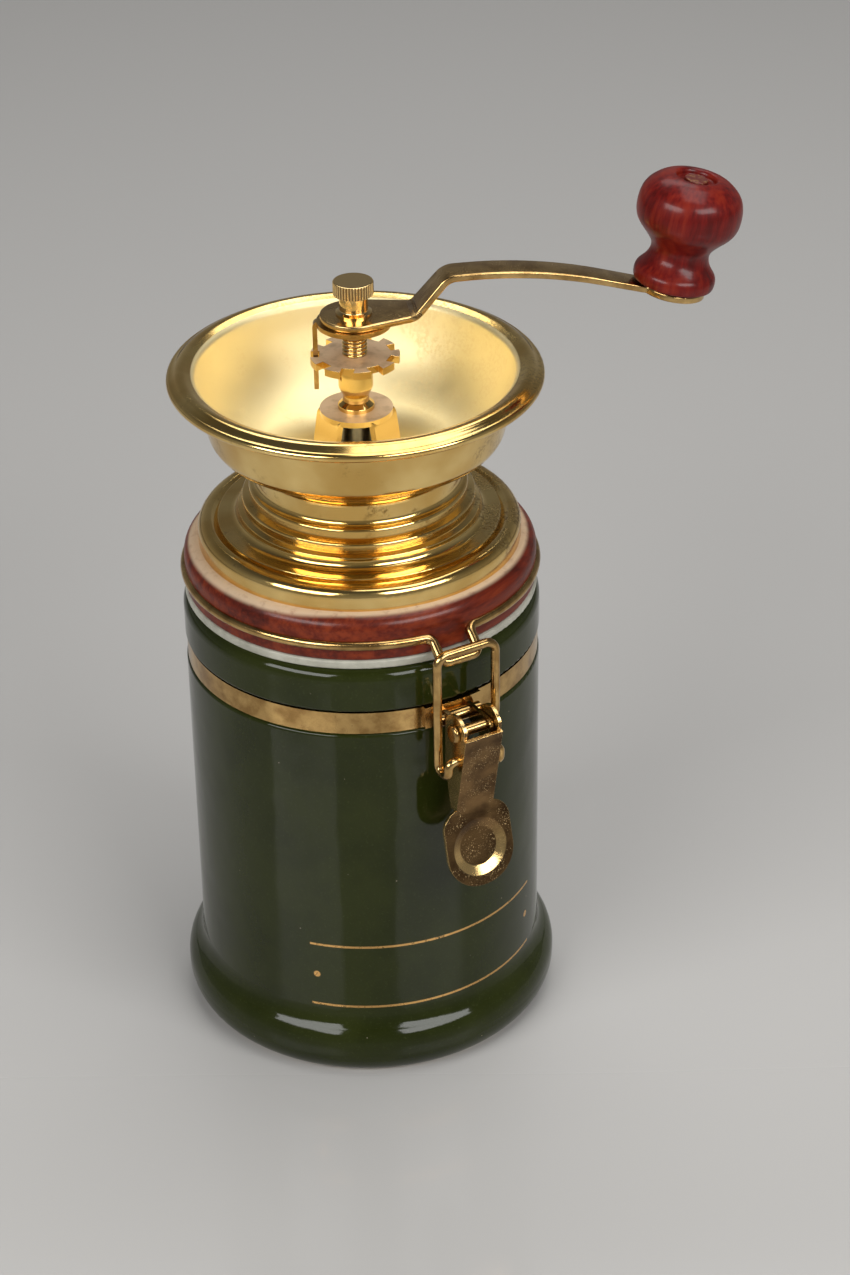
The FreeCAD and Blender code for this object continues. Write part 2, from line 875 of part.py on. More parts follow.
def star_wheel():
    """Wheel with square teeth that sets the grind."""
    star = upright(star_radius, star_low, star_top)
    star = star.cut(upright(shaft_radius, star_low, star_top))
    valley = star_radius - notch_depth
    slot = [
        (valley, star_low),
        (star_radius + notch_depth, star_low),
        (star_radius + notch_depth, star_top),
        (valley, star_top),
    ]
    for notch in range(star_notches):
        bearing = finger_bearing + notch * 360 / star_notches
        star = star.cut(radial_strip(slot, notch_width, bearing))
    return star


def stop_plate():
    """Washer under the arm with a finger bent down into a notch of the star wheel."""
    low = stop_plate_low
    plate = upright(stop_plate_radius, low, arm_low)
    line = [
        (stop_plate_radius / 2, low),
        (finger_reach - stop_plate_thickness, low, fine_rounding),
        (finger_reach - stop_plate_thickness, low - finger_length),
    ]
    finger = radial_strip(sheet_outline(line, stop_plate_thickness), finger_width, finger_bearing)
    plate = plate.fuse(finger).cut(upright(shaft_radius, low, arm_low))
    return plate.removeSplitter()


def arm_height(run):
    """Height of the arm's lower face along its drooping stretch and its eye."""
    eye_start = crank_radius - arm_eye_radius
    droop = (min(run, eye_start) - arm_knee_run) * arm_fall
    return arm_low + arm_knee_rise - droop - max(run - eye_start, 0) * eye_fall


def knob_axis():
    """Point on the arm's top face under the knob, and the knob's direction."""
    lean = math.radians(knob_lean)
    height = arm_height(crank_radius) + arm_thickness / math.cos(lean)
    foot = at_bearing(crank_radius, arm_bearing, height)
    return foot, at_bearing(math.sin(lean), arm_bearing, math.cos(lean))


def along_knob(solid):
    """Move a solid turned about Z onto the knob's leaning axis."""
    foot, direction = knob_axis()
    solid.rotate(origin, sideways, knob_lean)
    solid.rotate(origin, upward, arm_bearing)
    solid.translate(foot)
    return solid


def crank_arm():
    """Bowed strip: level hub, steep rise, long bow and a round eye under the knob."""
    end = crank_radius + arm_eye_radius
    eye_start = crank_radius - arm_eye_radius
    line = [
        (-arm_hub_radius, arm_low),
        (arm_hub_run, arm_low, arm_bend),
        (arm_crest_run, arm_low + arm_crest_rise, arm_bend),
        (arm_knee_run, arm_low + arm_knee_rise, arm_bow_radius),
        (eye_start, arm_height(eye_start), arm_bend),
        (end, arm_height(end)),
    ]
    side = radial_strip(sheet_outline(line, arm_thickness), 3 * arm_hub_radius, 0)
    low = shaft_bottom
    high = arm_top + 3 * arm_crest_rise
    blend_run = hub_blend * arm_hub_radius
    blend_width = math.sqrt(arm_hub_radius ** 2 - blend_run ** 2)
    plan = [
        (-blend_width, -blend_run),
        (arm_low_set - arm_low_width / 2, -arm_hub_run),
        (arm_crest_set - arm_crest_width / 2, -arm_crest_run),
        (-arm_end_width / 2, -crank_radius),
        (arm_end_width / 2, -crank_radius),
        (arm_crest_set + arm_crest_width / 2, -arm_crest_run),
        (arm_low_set + arm_low_width / 2, -arm_hub_run),
        (blend_width, -blend_run),
    ]
    path = flat_corners(plan, lambda across, run: Vector(across, run, low))
    strip = Part.Face(Part.Wire(rounded_edges(path, True))).extrude(Vector(0, 0, high - low))
    hub = upright(arm_hub_radius, low, high)
    eye = upright(arm_eye_radius, low, high, Vector(0, -crank_radius, 0))
    arm = side.common(strip.fuse([hub, eye]).removeSplitter())
    arm = arm.cut(upright(shaft_radius, low, high))
    arm.rotate(origin, upward, arm_bearing)
    hole = along_knob(upright(axle_radius, -4 * arm_thickness, 4 * arm_thickness))
    return arm.cut(hole)


def knob_washer():
    """Thin washer between arm and knob."""
    return along_knob(turned(
        (axle_radius, 0),
        (knob_washer_radius, 0),
        (knob_washer_radius, knob_washer_thickness),
        (axle_radius, knob_washer_thickness),
    ))


def knob_low():
    """Height of the knob's foot above the arm."""
    return knob_washer_thickness + seat_clearance


def wooden_knob():
    """Turned knob: flared base, waist, round head with a recess for the axle's head."""
    low = knob_low()
    bore = axle_radius + running_clearance
    top = low + knob_height
    waist = low + knob_waist_height
    head = low + knob_head_height
    recess = top - knob_recess_depth
    return along_knob(turned(
        (bore, low),
        (knob_base_radius, low, knob_foot_rounding),
        (knob_base_radius, low + knob_base_height, knob_base_rounding),
        (knob_waist_radius, waist - knob_waist_drop, knob_waist_rounding),
        (knob_waist_radius, waist + knob_waist_rise, knob_waist_rounding),
        (knob_head_radius, head - knob_head_drop, knob_head_rounding),
        (knob_head_radius, top - knob_shoulder_drop, knob_shoulder_rounding),
        (knob_recess_radius + knob_recess_lip, top, knob_foot_rounding),
        (knob_recess_radius, top, small_rounding),
        (knob_recess_radius, recess),
        (bore, recess),
    ))


def knob_axle():
    """Axle riveted to the arm, with a head in the knob's recess."""
    head_low = knob_low() + knob_height - knob_recess_depth + seat_clearance
    foot = -arm_thickness
    return along_knob(turned(
        (0, foot - axle_head_height),
        (axle_foot_radius, foot - axle_head_height, small_rounding),
        (axle_foot_radius, foot),
        (axle_radius, foot),
        (axle_radius, head_low),
        (axle_head_radius, head_low),
        (axle_head_radius, head_low + axle_head_height, small_rounding),
        (0, head_low + axle_head_height),
    ))


def thumb_nut():
    """Knurled nut on the shaft's end, with a flared boss on the arm."""
    bore = shaft_radius + running_clearance
    neck = turned(
        (0, nut_low),
        (nut_boss_radius, nut_low),
        (nut_boss_radius, nut_low + nut_boss_height / 2),
        (nut_neck_radius, nut_low + nut_boss_height, small_rounding),
        (nut_neck_radius, nut_neck_top),
        (0, nut_neck_top),
    )
    ridges = []
    for tooth in range(knurl_teeth):
        step = 360 / knurl_teeth
        ridges.append(at_bearing(nut_head_radius, tooth * step, nut_neck_top))
        ridges.append(at_bearing(nut_head_radius - knurl_depth, (tooth + 0.5) * step, nut_neck_top))
    rim = Part.Face(Part.makePolygon(ridges + ridges[:1])).extrude(Vector(0, 0, nut_head_height))
    cap = turned(
        (0, nut_neck_top),
        (nut_head_radius + knurl_depth, nut_neck_top, edge_rounding),
        (nut_head_radius + knurl_depth, nut_top, edge_rounding),
        (0, nut_top),
    )
    nut = neck.fuse(rim.common(cap))
    nut = nut.cut(upright(bore, nut_low, shaft_top + side_clearance))
    return nut.removeSplitter()


def thumb_plate():
    """Rounded plate that hangs from the origin, with a pressed dish in its face."""
    outline = [
        (-plate_half_width, plate_overlap, plate_shoulder),
        (-plate_half_width, -plate_length, plate_foot),
        (plate_half_width, -plate_length, plate_foot),
        (plate_half_width, plate_overlap, plate_shoulder),
    ]
    path = flat_corners(outline, lambda across, up: Vector(across, 0, up))
    plate = Part.Face(Part.Wire(rounded_edges(path, True))).extrude(Vector(0, sheet, 0))
    dish_rim = dish_radius + sheet
    dish = turned(
        (0, -dish_depth),
        (dish_radius - dish_slope, -dish_depth, sheet / 2),
        (dish_radius, 0, sheet / 2),
        (dish_rim, 0),
        (dish_rim, -sheet),
        (dish_radius - sheet / 2, -sheet),
        (dish_radius - dish_slope - sheet / 2, -sheet - dish_depth),
        (0, -sheet - dish_depth),
    )
    dish.rotate(origin, sideways, 90)
    dish.translate(Vector(0, 0, -dish_drop))
    well = Part.makeCylinder(dish_rim, 3 * sheet, Vector(0, -sheet, -dish_drop), Vector(0, 1, 0))
    return plate.cut(well).fuse(dish).removeSplitter()


def clamp_lever():
    """Stamped lever: channel with side ears and a dished thumb plate that leans out."""
    front = pivot_reach + lever_front
    back = front - sheet
    top = pivot_height + lever_top
    low = pivot_height - channel_length
    face = Part.makeBox(2 * ear_outer, sheet, top - low, Vector(-ear_outer, -front, low))
    ear_outline = [
        (front, top),
        (pivot_reach, top),
        (pivot_reach - ear_radius, pivot_height),
        (front - sheet - ear_taper_depth, pivot_height - ear_taper_drop, 4 * sheet),
        (front - ear_foot_depth, low),
        (front, low),
    ]
    ear = radial_strip(ear_outline, sheet, 0)
    ear.translate(Vector(ear_outer - sheet / 2, 0, 0))
    crown = cross_pin(ear_radius, pivot_reach, pivot_height, ear_inner, ear_outer)
    crown = crown.common(Part.makeBox(2 * ear_outer, 2 * pivot_reach, pivot_reach,
                                      Vector(0, -back, pivot_height - pivot_reach / 2)))
    ear = ear.fuse(crown)
    plate = thumb_plate()
    plate.rotate(origin, sideways, -plate_tilt)
    plate.translate(Vector(0, -front, low))
    lever = face.fuse([ear, mirrored(ear), plate])
    lever = lever.cut(cross_pin(pivot_radius + running_clearance, pivot_reach, pivot_height,
                                -2 * ear_outer, 2 * ear_outer))
    lever = lever.cut(cross_pin(link_wire_radius + running_clearance, pivot_reach + link_pivot_out,
                                pivot_height - link_pivot_drop, -2 * ear_outer, 2 * ear_outer))
    lever = lever.removeSplitter()
    lever.rotate(Vector(0, -pivot_reach, pivot_height), sideways, lever_tilt)
    return lever


def clamp_link():
    """Bent wire loop: top bar, two legs and hooked ends that turn in the lever's ears.

    The right leg steps in below the band and hugs its ear; the left one runs straight down.
    """
    end_reach, end_height = lever_point(link_pivot_out, link_pivot_drop)
    low_bend = link_low_bend_share * (end_reach - link_reach)
    bottom = end_height - link_end_bend - low_bend - fine_rounding
    end_inside = ear_inner - link_end_stand
    joggle_high = pivot_height + link_joggle_rise
    joggle_low = joggle_high - link_joggle_fall
    path = [
        (Vector(end_inside, -end_reach, end_height), 0),
        (Vector(link_right_width, -end_reach, end_height), link_tight_bend),
        (Vector(link_right_width, -end_reach, bottom), low_bend),
        (Vector(link_right_width, -link_reach, bottom), low_bend),
        (Vector(link_right_width, -link_reach, joggle_low), link_joggle_bend),
        (Vector(link_half_width, -link_reach, joggle_high), link_joggle_bend),
        (Vector(link_half_width, -link_reach, link_top), link_top_bend),
        (Vector(-link_half_width, -link_reach, link_top), link_top_bend),
        (Vector(-link_half_width, -link_reach, bottom), low_bend),
        (Vector(-link_half_width, -end_reach, bottom), low_bend),
        (Vector(-link_half_width, -end_reach, end_height), link_end_bend),
        (Vector(-end_inside, -end_reach, end_height), 0),
    ]
    return round_wire(rounded_edges(path, False), link_wire_radius)


def burr_housing():
    """Cup under the lid with a throat that leads up to the bowl."""
    flange_low = plug_low - housing_flange_thickness
    inside = burr_ring_radius
    seat = burr_high + side_clearance
    housing = turned(
        (inside, housing_bottom),
        (housing_radius, housing_bottom),
        (housing_radius, flange_low, housing_rounding),
        (housing_flange_radius, flange_low),
        (housing_flange_radius, plug_low),
        (throat_outer, plug_low),
        (throat_outer, floor_height(throat_outer)),
        (throat_radius, floor_height(throat_radius)),
        (throat_radius, seat),
        (inside, seat),
    )
    for bearing in housing_screw_bearings:
        place = at_bearing(housing_screw_reach, bearing, 0)
        housing = housing.cut(upright(screw_radius, flange_low - 1, plug_low + 1, place))
    return housing


def star_ring(tip_radius, depth, height, twist):
    """Closed saw-tooth outline of a burr at one height."""
    points = []
    for tooth in range(burr_teeth):
        bearing = twist + tooth * 360 / burr_teeth
        points.append(at_bearing(tip_radius, bearing, height))
        points.append(at_bearing(tip_radius - depth, bearing + tooth_slant * 360 / burr_teeth, height))
    return Part.makePolygon(points + points[:1])


def inner_burr():
    """Grooved cone on the shaft."""
    low = star_ring(burr_low_radius, burr_tooth_depth, burr_low, 0)
    high = star_ring(burr_high_radius, burr_tooth_depth, burr_high, burr_twist)
    cone = Part.makeLoft([low, high], True, True)
    return cone.cut(upright(shaft_low_radius, burr_low, burr_high))


def outer_burr():
    """Grinding ring with teeth on its conical inside."""
    low_tip = burr_low_radius + burr_gap + burr_tooth_depth
    high_tip = burr_high_radius + burr_high_gap + burr_tooth_depth
    low = star_ring(low_tip, burr_tooth_depth, burr_low, 0)
    high = star_ring(high_tip, burr_tooth_depth, burr_high, -burr_twist)
    ring = upright(burr_ring_radius, burr_low, burr_high)
    return ring.cut(Part.makeLoft([low, high], True, True))


def lower_bridge():
    """Bar across the housing's mouth with a bearing boss for the shaft."""
    half = housing_radius
    bar = Part.makeBox(2 * half, lower_bridge_width, lower_bridge_thickness,
                       Vector(-half, -lower_bridge_width / 2, lower_bridge_low))
    bar = bar.common(upright(half, lower_bridge_low, housing_bottom))
    boss = upright(lower_boss_radius, lower_bridge_low, housing_bottom + lower_boss_rise)
    bridge = bar.fuse(boss)
    bridge = bridge.cut(upright(shaft_low_radius + running_clearance, shaft_bottom, burr_low))
    for place in lower_screw_places():
        bridge = bridge.cut(upright(screw_radius, lower_bridge_low, housing_bottom, place))
    return bridge.removeSplitter()


def lower_screw_places():
    """Centres of the two screws of the lower bridge."""
    return (Vector(lower_screw_reach, 0, 0), Vector(-lower_screw_reach, 0, 0))


def screw(place, seat, length):
    """Round-headed screw that goes up from its seat."""
    shank = upright(screw_radius, seat, seat + length, place)
    head = upright(screw_head_radius, seat - screw_head_height, seat, place)
    return shank.fuse(head).removeSplitter()


def housing_screws():
    """Screws that hold the housing under the lid."""
    seat = plug_low - housing_flange_thickness
    length = housing_flange_thickness + screw_length - seat_clearance
    places = [at_bearing(housing_screw_reach, bearing, 0) for bearing in housing_screw_bearings]
    return Part.makeCompound([screw(place, seat, length) for place in places])


def lower_bridge_screws():
    """Screws that hold the lower bridge to the housing."""
    return Part.makeCompound(
        [screw(place, lower_bridge_low, lower_bridge_thickness) for place in lower_screw_places()])


def burr_spring():
    """Dished spring washer that presses the inner burr up."""
    low = housing_bottom + lower_boss_rise + seat_clearance
    rise = burr_low - low - spring_washer_sheet
    inside = shaft_low_radius + side_clearance
    return turned(
        (inside, low + rise),
        (spring_washer_radius, low),
        (spring_washer_radius, low + spring_washer_sheet),
        (inside, low + rise + spring_washer_sheet),
    )


def burr_nut():
    """Hexagon nut on the shaft's lower end."""
    low = burr_nut_low
    corners = [at_bearing(nut_flat_radius, 60 * corner, low) for corner in range(6)]
    nut = Part.Face(Part.makePolygon(corners + corners[:1])).extrude(Vector(0, 0, nut_height))
    return nut.cut(upright(shaft_low_radius, low, low + nut_height))


pieces = (
    ceramic_jar, clamp_band, clamp_bracket, band_roll, lever_rivet, hinge_bracket, hinge_rivets,
    wooden_lid, lid_seal, lid_wire, base_flange, hopper_bowl, bearing_bridge, bridge_rivets, shaft_bush,
    burr_housing, outer_burr, lower_bridge, housing_screws, lower_bridge_screws,
    drive_shaft, inner_burr, burr_spring, burr_nut, ball_collar, star_wheel, stop_plate,
    crank_arm, knob_axle, knob_washer, wooden_knob, thumb_nut, clamp_lever, clamp_link,
)

os.makedirs("parts", exist_ok=True)
for piece in pieces:
    piece().exportStep("parts/" + piece.__name__ + ".step")
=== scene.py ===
"""Dress a hand-cranked coffee mill: finishes, soft sheet edges, hopper, crank, knob, wires and studio."""

import json
import logging
import math
from dataclasses import dataclass
from enum import Enum
from typing import Dict, List, Mapping, Optional, Sequence, Tuple, Union

import bmesh
import bpy
import numpy as np
from mathutils import Matrix, Vector


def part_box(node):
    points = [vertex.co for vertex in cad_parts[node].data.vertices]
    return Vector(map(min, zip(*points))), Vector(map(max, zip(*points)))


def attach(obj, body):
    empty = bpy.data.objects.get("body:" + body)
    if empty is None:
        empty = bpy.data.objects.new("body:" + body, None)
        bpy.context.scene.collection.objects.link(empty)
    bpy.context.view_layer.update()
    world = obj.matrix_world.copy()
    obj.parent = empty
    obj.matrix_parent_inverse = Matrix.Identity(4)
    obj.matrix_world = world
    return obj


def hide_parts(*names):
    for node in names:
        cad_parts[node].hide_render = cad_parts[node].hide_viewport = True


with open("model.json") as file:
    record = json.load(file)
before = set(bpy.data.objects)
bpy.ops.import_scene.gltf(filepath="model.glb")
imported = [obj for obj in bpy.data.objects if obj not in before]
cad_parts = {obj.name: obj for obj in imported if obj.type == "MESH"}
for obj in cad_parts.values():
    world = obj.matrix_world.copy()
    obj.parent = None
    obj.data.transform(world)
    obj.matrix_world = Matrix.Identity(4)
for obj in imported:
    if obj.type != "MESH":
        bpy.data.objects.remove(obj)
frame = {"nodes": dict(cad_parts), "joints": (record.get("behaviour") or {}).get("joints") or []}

MILLIMETRE = 0.001
MERGE_REACH = 2e-6
FLAT_ANGLE = 0.4
EDGE_ANGLE = 32.0
LOG = logging.getLogger("coffee_mill")

Colour = Tuple[float, float, float]
Value = Union[float, "Socket"]


def srgb(red: int, green: int, blue: int) -> Colour:
    """Linear colour of a display colour.

    Args:
        red: Red from 0 to 255.
        green: Green from 0 to 255.
        blue: Blue from 0 to 255.

    Returns:
        The linear red, green and blue.
    """
    shares = np.array((red, green, blue)) / 255.0
    linear = np.where(shares <= 0.04045, shares / 12.92, ((shares + 0.055) / 1.055) ** 2.4)
    return tuple(float(part) for part in linear)


class Socket:
    """A shader value that takes part in Python expressions."""

    def __init__(self, graph: "NodeTree", link: Optional[bpy.types.NodeSocket]) -> None:
        """Keep the tree and the output that carries the value."""
        self.graph = graph
        self.link = link

    def maths(self, operation: str, *values: Value) -> "Socket":
        """Add a Math node.

        Args:
            operation: The node's operation.
            values: Its inputs in order.

        Returns:
            The node's result.
        """
        return self.graph.node("ShaderNodeMath", {"operation": operation}, dict(enumerate(values)))

    def __add__(self, other: Value) -> "Socket":
        """Sum."""
        return self.maths("ADD", self, other)

    __radd__ = __add__

    def __sub__(self, other: Value) -> "Socket":
        """Difference."""
        return self.maths("SUBTRACT", self, other)

    def __rsub__(self, other: Value) -> "Socket":
        """Difference from a number."""
        return self.maths("SUBTRACT", other, self)

    def __mul__(self, other: Value) -> "Socket":
        """Product."""
        return self.maths("MULTIPLY", self, other)

    __rmul__ = __mul__

    def __truediv__(self, other: Value) -> "Socket":
        """Quotient."""
        return self.maths("DIVIDE", self, other)

    def __pow__(self, other: Value) -> "Socket":
        """Power."""
        return self.maths("POWER", self, other)

    def __abs__(self) -> "Socket":
        """Size without sign."""
        return self.maths("ABSOLUTE", self)

    def most(self, other: Value) -> "Socket":
        """Larger of two values."""
        return self.maths("MAXIMUM", self, other)

    def rise(self, low: float, high: float) -> "Socket":
        """Smooth step from 0 at low to 1 at high."""
        settings = {"interpolation_type": "SMOOTHSTEP"}
        values = {"Value": self, "From Min": low, "From Max": high}
        return self.graph.node("ShaderNodeMapRange", settings, values)

    def fall(self, low: float, high: float) -> "Socket":
        """Smooth step from 1 at low to 0 at high."""
        return 1.0 - self.rise(low, high)


class NodeTree:
    """Node tree of a material or of the room's light."""

    def __init__(self, tree: bpy.types.NodeTree) -> None:
        """Take a tree and empty it."""
        self.tree = tree
        self.tree.nodes.clear()

    def node(self, kind: str, settings: Mapping, values: Mapping, output: Union[int, str] = 0) -> Socket:
        """Add any node.

        Args:
            kind: Type of the node.
            settings: Its own settings; "stops" holds a colour ramp's places and colours.
            values: Numbers, colours or sockets for its inputs, by name or number.
            output: Output to return.

        Returns:
            The chosen output, empty for a node that ends the tree.
        """
        made = self.tree.nodes.new(kind)
        for name, setting in settings.items():
            if name == "stops":
                self.set_stops(made.color_ramp, setting)
            else:
                setattr(made, name, setting)
        for name, value in values.items():
            if isinstance(value, Socket):
                self.tree.links.new(value.link, made.inputs[name])
            elif isinstance(value, tuple) and len(made.inputs[name].default_value) > len(value):
                made.inputs[name].default_value = value + (1.0,)
            else:
                made.inputs[name].default_value = value
        return Socket(self, made.outputs[output] if made.outputs else None)

    @staticmethod
    def set_stops(ramp: bpy.types.ColorRamp, stops: Sequence[Tuple[float, Colour]]) -> None:
        """Give a colour ramp its stops."""
        while len(ramp.elements) < len(stops):
            ramp.elements.new(1.0)
        for element, (place, colour) in zip(ramp.elements, stops):
            element.position = place
            element.color = colour + (1.0,)

    def parts(self, vector: Socket) -> Tuple[Socket, Socket, Socket]:
        """Split a vector into its three values."""
        first = self.node("ShaderNodeSeparateXYZ", {}, {0: vector})
        outputs = first.link.node.outputs
        return first, Socket(self, outputs[1]), Socket(self, outputs[2])

    def ramp(self, share: Socket, stops: Sequence[Tuple[float, Colour]]) -> Socket:
        """Colour along a ramp."""
        return self.node("ShaderNodeValToRGB", {"stops": stops}, {0: share})


class Graph(NodeTree):
    """Tree of one material, with object coordinates in millimetres."""

    def __init__(self, name: str) -> None:
        """Start an empty material."""
        self.material = bpy.data.materials.new(name)
        self.material.use_nodes = True
        super().__init__(self.material.node_tree)
        self.normal = self.node("ShaderNodeTexCoord", {}, {}, "Normal")
        place = Socket(self, self.normal.link.node.outputs["Object"])
        scaled = {0: place, "Scale": 1 / MILLIMETRE}
        self.place = self.node("ShaderNodeVectorMath", {"operation": "SCALE"}, scaled)
        self.x, self.y, self.z = self.parts(self.place)
        self.radius = (self.x * self.x + self.y * self.y) ** 0.5

    def vector(self, x: Value, y: Value, z: Value) -> Socket:
        """Join three values into a vector."""
        return self.node("ShaderNodeCombineXYZ", {}, {0: x, 1: y, 2: z})

    def along(self, origin: Vector, direction: Vector) -> Socket:
        """Distance of the surface along a direction, from an origin, in millimetres."""
        dot = self.node("ShaderNodeVectorMath", {"operation": "DOT_PRODUCT"},
                        {0: self.place, 1: tuple(direction)}, "Value")
        return dot - float(origin.dot(direction))

    def noise(self, scale: float, detail: float = 2.0, roughness: float = 0.5,
              vector: Optional[Socket] = None) -> Socket:
        """Cloudy noise from 0 to 1, over the surface's place or another vector."""
        values = {"Vector": vector or self.place, "Scale": scale, "Detail": detail, "Roughness": roughness}
        return self.node("ShaderNodeTexNoise", {}, values)

    def mix(self, share: Value, first: Union[Colour, Socket], second: Union[Colour, Socket]) -> Socket:
        """Blend two colours."""
        values = {"Factor": share, 6: first, 7: second}
        return self.node("ShaderNodeMix", {"data_type": "RGBA"}, values, 2)

    def bump(self, height: Socket, distance: float, strength: float = 1.0) -> Socket:
        """Normal of a surface with a height pattern, its depth in millimetres."""
        values = {"Height": height, "Distance": distance * MILLIMETRE, "Strength": strength}
        return self.node("ShaderNodeBump", {}, values)

    def surface(self, colour: Union[Colour, Socket], rough: Value, metal: Value = 0.0,
                normal: Optional[Socket] = None, more: Optional[Mapping] = None) -> bpy.types.Material:
        """Close the graph with one shader.

        Args:
            colour: Its base colour.
            rough: Its roughness.
            metal: Its share of metal.
            normal: Its normal, where a bump changes it.
            more: Further inputs of the shader by name.

        Returns:
            The finished material.
        """
        values = {"Base Color": colour, "Roughness": rough, "Metallic": metal, **(more or {})}
        if normal is not None:
            values["Normal"] = normal
        shader = self.node("ShaderNodeBsdfPrincipled", {}, values)
        self.node("ShaderNodeOutputMaterial", {}, {"Surface": shader})
        return self.material


@dataclass(frozen=True)
class JarGlaze:
    """Dark green gloss glaze with two gilt stripes and two gilt dots on the front."""

    deep: Colour = srgb(31, 36, 8)
    pale: Colour = srgb(39, 44, 13)
    # Paler green of thin glaze, also used to lighten the rim: thin glaze and a painted highlight.
    thin: Colour = srgb(78, 84, 48)
    clay: Colour = srgb(196, 180, 156)
    gilt: Colour = srgb(205, 160, 98)
    wall_radius: float = 46.9
    rim_height: float = 126.5
    stripe_heights: Tuple[float, float] = (20.8, 40.5)
    stripe_half_width: float = 0.34
    stripe_middle: float = -4.5
    stripe_half_length: float = 35.6
    dot_inset: float = 1.7
    dot_radius: float = 0.95
    foot_ring: Tuple[float, float] = (38.0, 39.0)
    pinhole_cells: float = 0.22
    pinhole_size: float = 0.05

    def pinholes(self, graph: Graph) -> Socket:
        """Mask of small round holes, in some cells of a scattered pattern."""
        cells = {"Vector": graph.place, "Scale": self.pinhole_cells}
        distance = graph.node("ShaderNodeTexVoronoi", {}, cells)
        chance = graph.noise(self.pinhole_cells * 0.35).rise(0.5, 0.58)
        return distance.fall(self.pinhole_size * 0.5, self.pinhole_size) * chance

    def gilding(self, graph: Graph) -> Socket:
        """Mask of the stripes and dots: bands of height, cut at two arc lengths, plus two small discs."""
        bearing = graph.x.maths("ARCTAN2", graph.x, 0.0 - graph.y)
        run = abs(bearing * self.wall_radius - self.stripe_middle)
        thin, long = self.stripe_half_width, self.stripe_half_length
        lines = [abs(graph.z - height).fall(thin - 0.06, thin + 0.06) for height in self.stripe_heights]
        mask = lines[0].most(lines[1]) * run.fall(long - 0.1, long + 0.1)
        middle = sum(self.stripe_heights) / 2
        across = run - (long - self.dot_inset)
        up = graph.z - middle
        dot = ((across * across + up * up) ** 0.5).fall(self.dot_radius - 0.1, self.dot_radius + 0.1)
        worn = graph.noise(0.55, 4.0, 0.7).rise(0.30, 0.42)
        outside = graph.radius.rise(self.wall_radius - 1.5, self.wall_radius - 1.0)
        return mask.most(dot) * worn * outside

    def build(self) -> bpy.types.Material:
        """Material of the jar."""
        graph = Graph("jar_glaze")
        cloud = graph.noise(0.045, 4.0, 0.6)
        grain = graph.noise(1.6, 3.0, 0.6)
        green = graph.mix(cloud.rise(0.32, 0.68), self.deep, self.pale)
        green = graph.mix(grain.rise(0.55, 0.8) * 0.25, green, self.thin)
        # Rim's top edge lighter: partly glaze that thins and breaks on the edge, partly a painted highlight.
        edge = graph.z.rise(self.rim_height - 1.2, self.rim_height) * 0.35
        green = graph.mix(edge, green, self.thin)
        green = graph.mix(self.pinholes(graph) * 0.5, green, self.clay)
        bare = graph.z.fall(0.5, 1.1) * graph.radius.rise(*self.foot_ring)
        gilt = self.gilding(graph)
        colour = graph.mix(gilt, green, self.gilt)
        colour = graph.mix(bare, colour, self.clay)
        waves = graph.noise(0.05) + grain * 0.012
        rough = 0.055 + grain * 0.05 + gilt * 0.2 + bare * 0.6
        return graph.surface(colour, rough, gilt * 0.9, graph.bump(waves, 0.5, 0.6), {"IOR": 1.33})


class GrainCut(Enum):
    """How a turned piece was cut from the board."""

    ACROSS = "across"
    UPRIGHT = "upright"


@dataclass(frozen=True)
class TurnedWood:
    """Red-brown varnished wood with streaks along its grain, and where given a pale ring of worn varnish
    mixed with a painted sheen.
    """

    name: str
    cut: GrainCut
    dark: Colour
    middle: Colour
    light: Colour
    origin: Vector
    grain: Vector
    # Pale ring on the top near the flange, partly worn varnish and dust, partly a painted sheen on the
    # shoulder: its full and bare radii and the top's height.
    wear_and_sheen_ring: Tuple[float, float, float] = (0.0, 0.0, 0.0)
    # Colour of that ring: worn varnish and a painted sheen.
    worn: Colour = srgb(206, 182, 152)
    # Side where the ring of wear and painted sheen reaches further, and by how much.
    wear_and_sheen_side: Tuple[float, float] = (-43.0, -24.0)
    wear_and_sheen_more: float = 1.5

    def local(self, graph: Graph, stretch: float) -> Socket:
        """Coordinates with the third one along the grain, shortened by a stretch."""
        grain = self.grain.normalized()
        across = grain.orthogonal().normalized()
        other = grain.cross(across)
        return graph.vector(graph.along(self.origin, across), graph.along(self.origin, other),
                            graph.along(self.origin, grain) * stretch)

    def build(self) -> bpy.types.Material:
        """Material of the piece."""
        graph = Graph(self.name)
        warp = graph.noise(0.05, vector=self.local(graph, 0.25))
        long = self.local(graph, 0.06 if self.cut is GrainCut.ACROSS else 0.12)
        broad = graph.noise(0.22, 3.0, 0.55, long)
        streak = graph.noise(0.9, 4.0, 0.65, long)
        pores = graph.noise(3.2, 2.0, 0.7, self.local(graph, 0.10))
        tone = broad * 0.55 + streak * 0.35 + warp * 0.1
        colour = graph.ramp(tone.rise(0.3, 0.7), ((0.0, self.dark), (0.45, self.middle), (1.0, self.light)))
        pore = pores.rise(0.62, 0.72)
        colour = graph.mix(pore * 0.35, colour, self.dark)
        rough = 0.38 + streak * 0.18
        coat = 0.34 - graph.noise(0.3, 4.0, 0.7).rise(0.62, 0.8) * 0.2
        # Pale ring by the flange: worn varnish and dust mixed with a painted sheen, wider and mottled towards
        # the left.
        full, bare, height = self.wear_and_sheen_ring
        if bare > 0.0:
            patch = graph.noise(0.3, 5.0, 0.7).rise(0.05, 0.5)
            reach = graph.radius - graph.x.fall(*self.wear_and_sheen_side) * self.wear_and_sheen_more * patch
            worn = reach.fall(full, bare) * graph.z.rise(height - 1.8, height - 0.6) * patch
            colour = graph.mix(worn * 0.85, colour, self.worn)
            rough = rough + worn * 0.1
            coat = coat * (1.0 - worn * 0.6)
        varnish = {"IOR": 1.2, "Coat Weight": coat, "Coat Roughness": 0.2}
        return graph.surface(colour, rough, normal=graph.bump(streak - pore * 0.6, 0.03, 0.7), more=varnish)


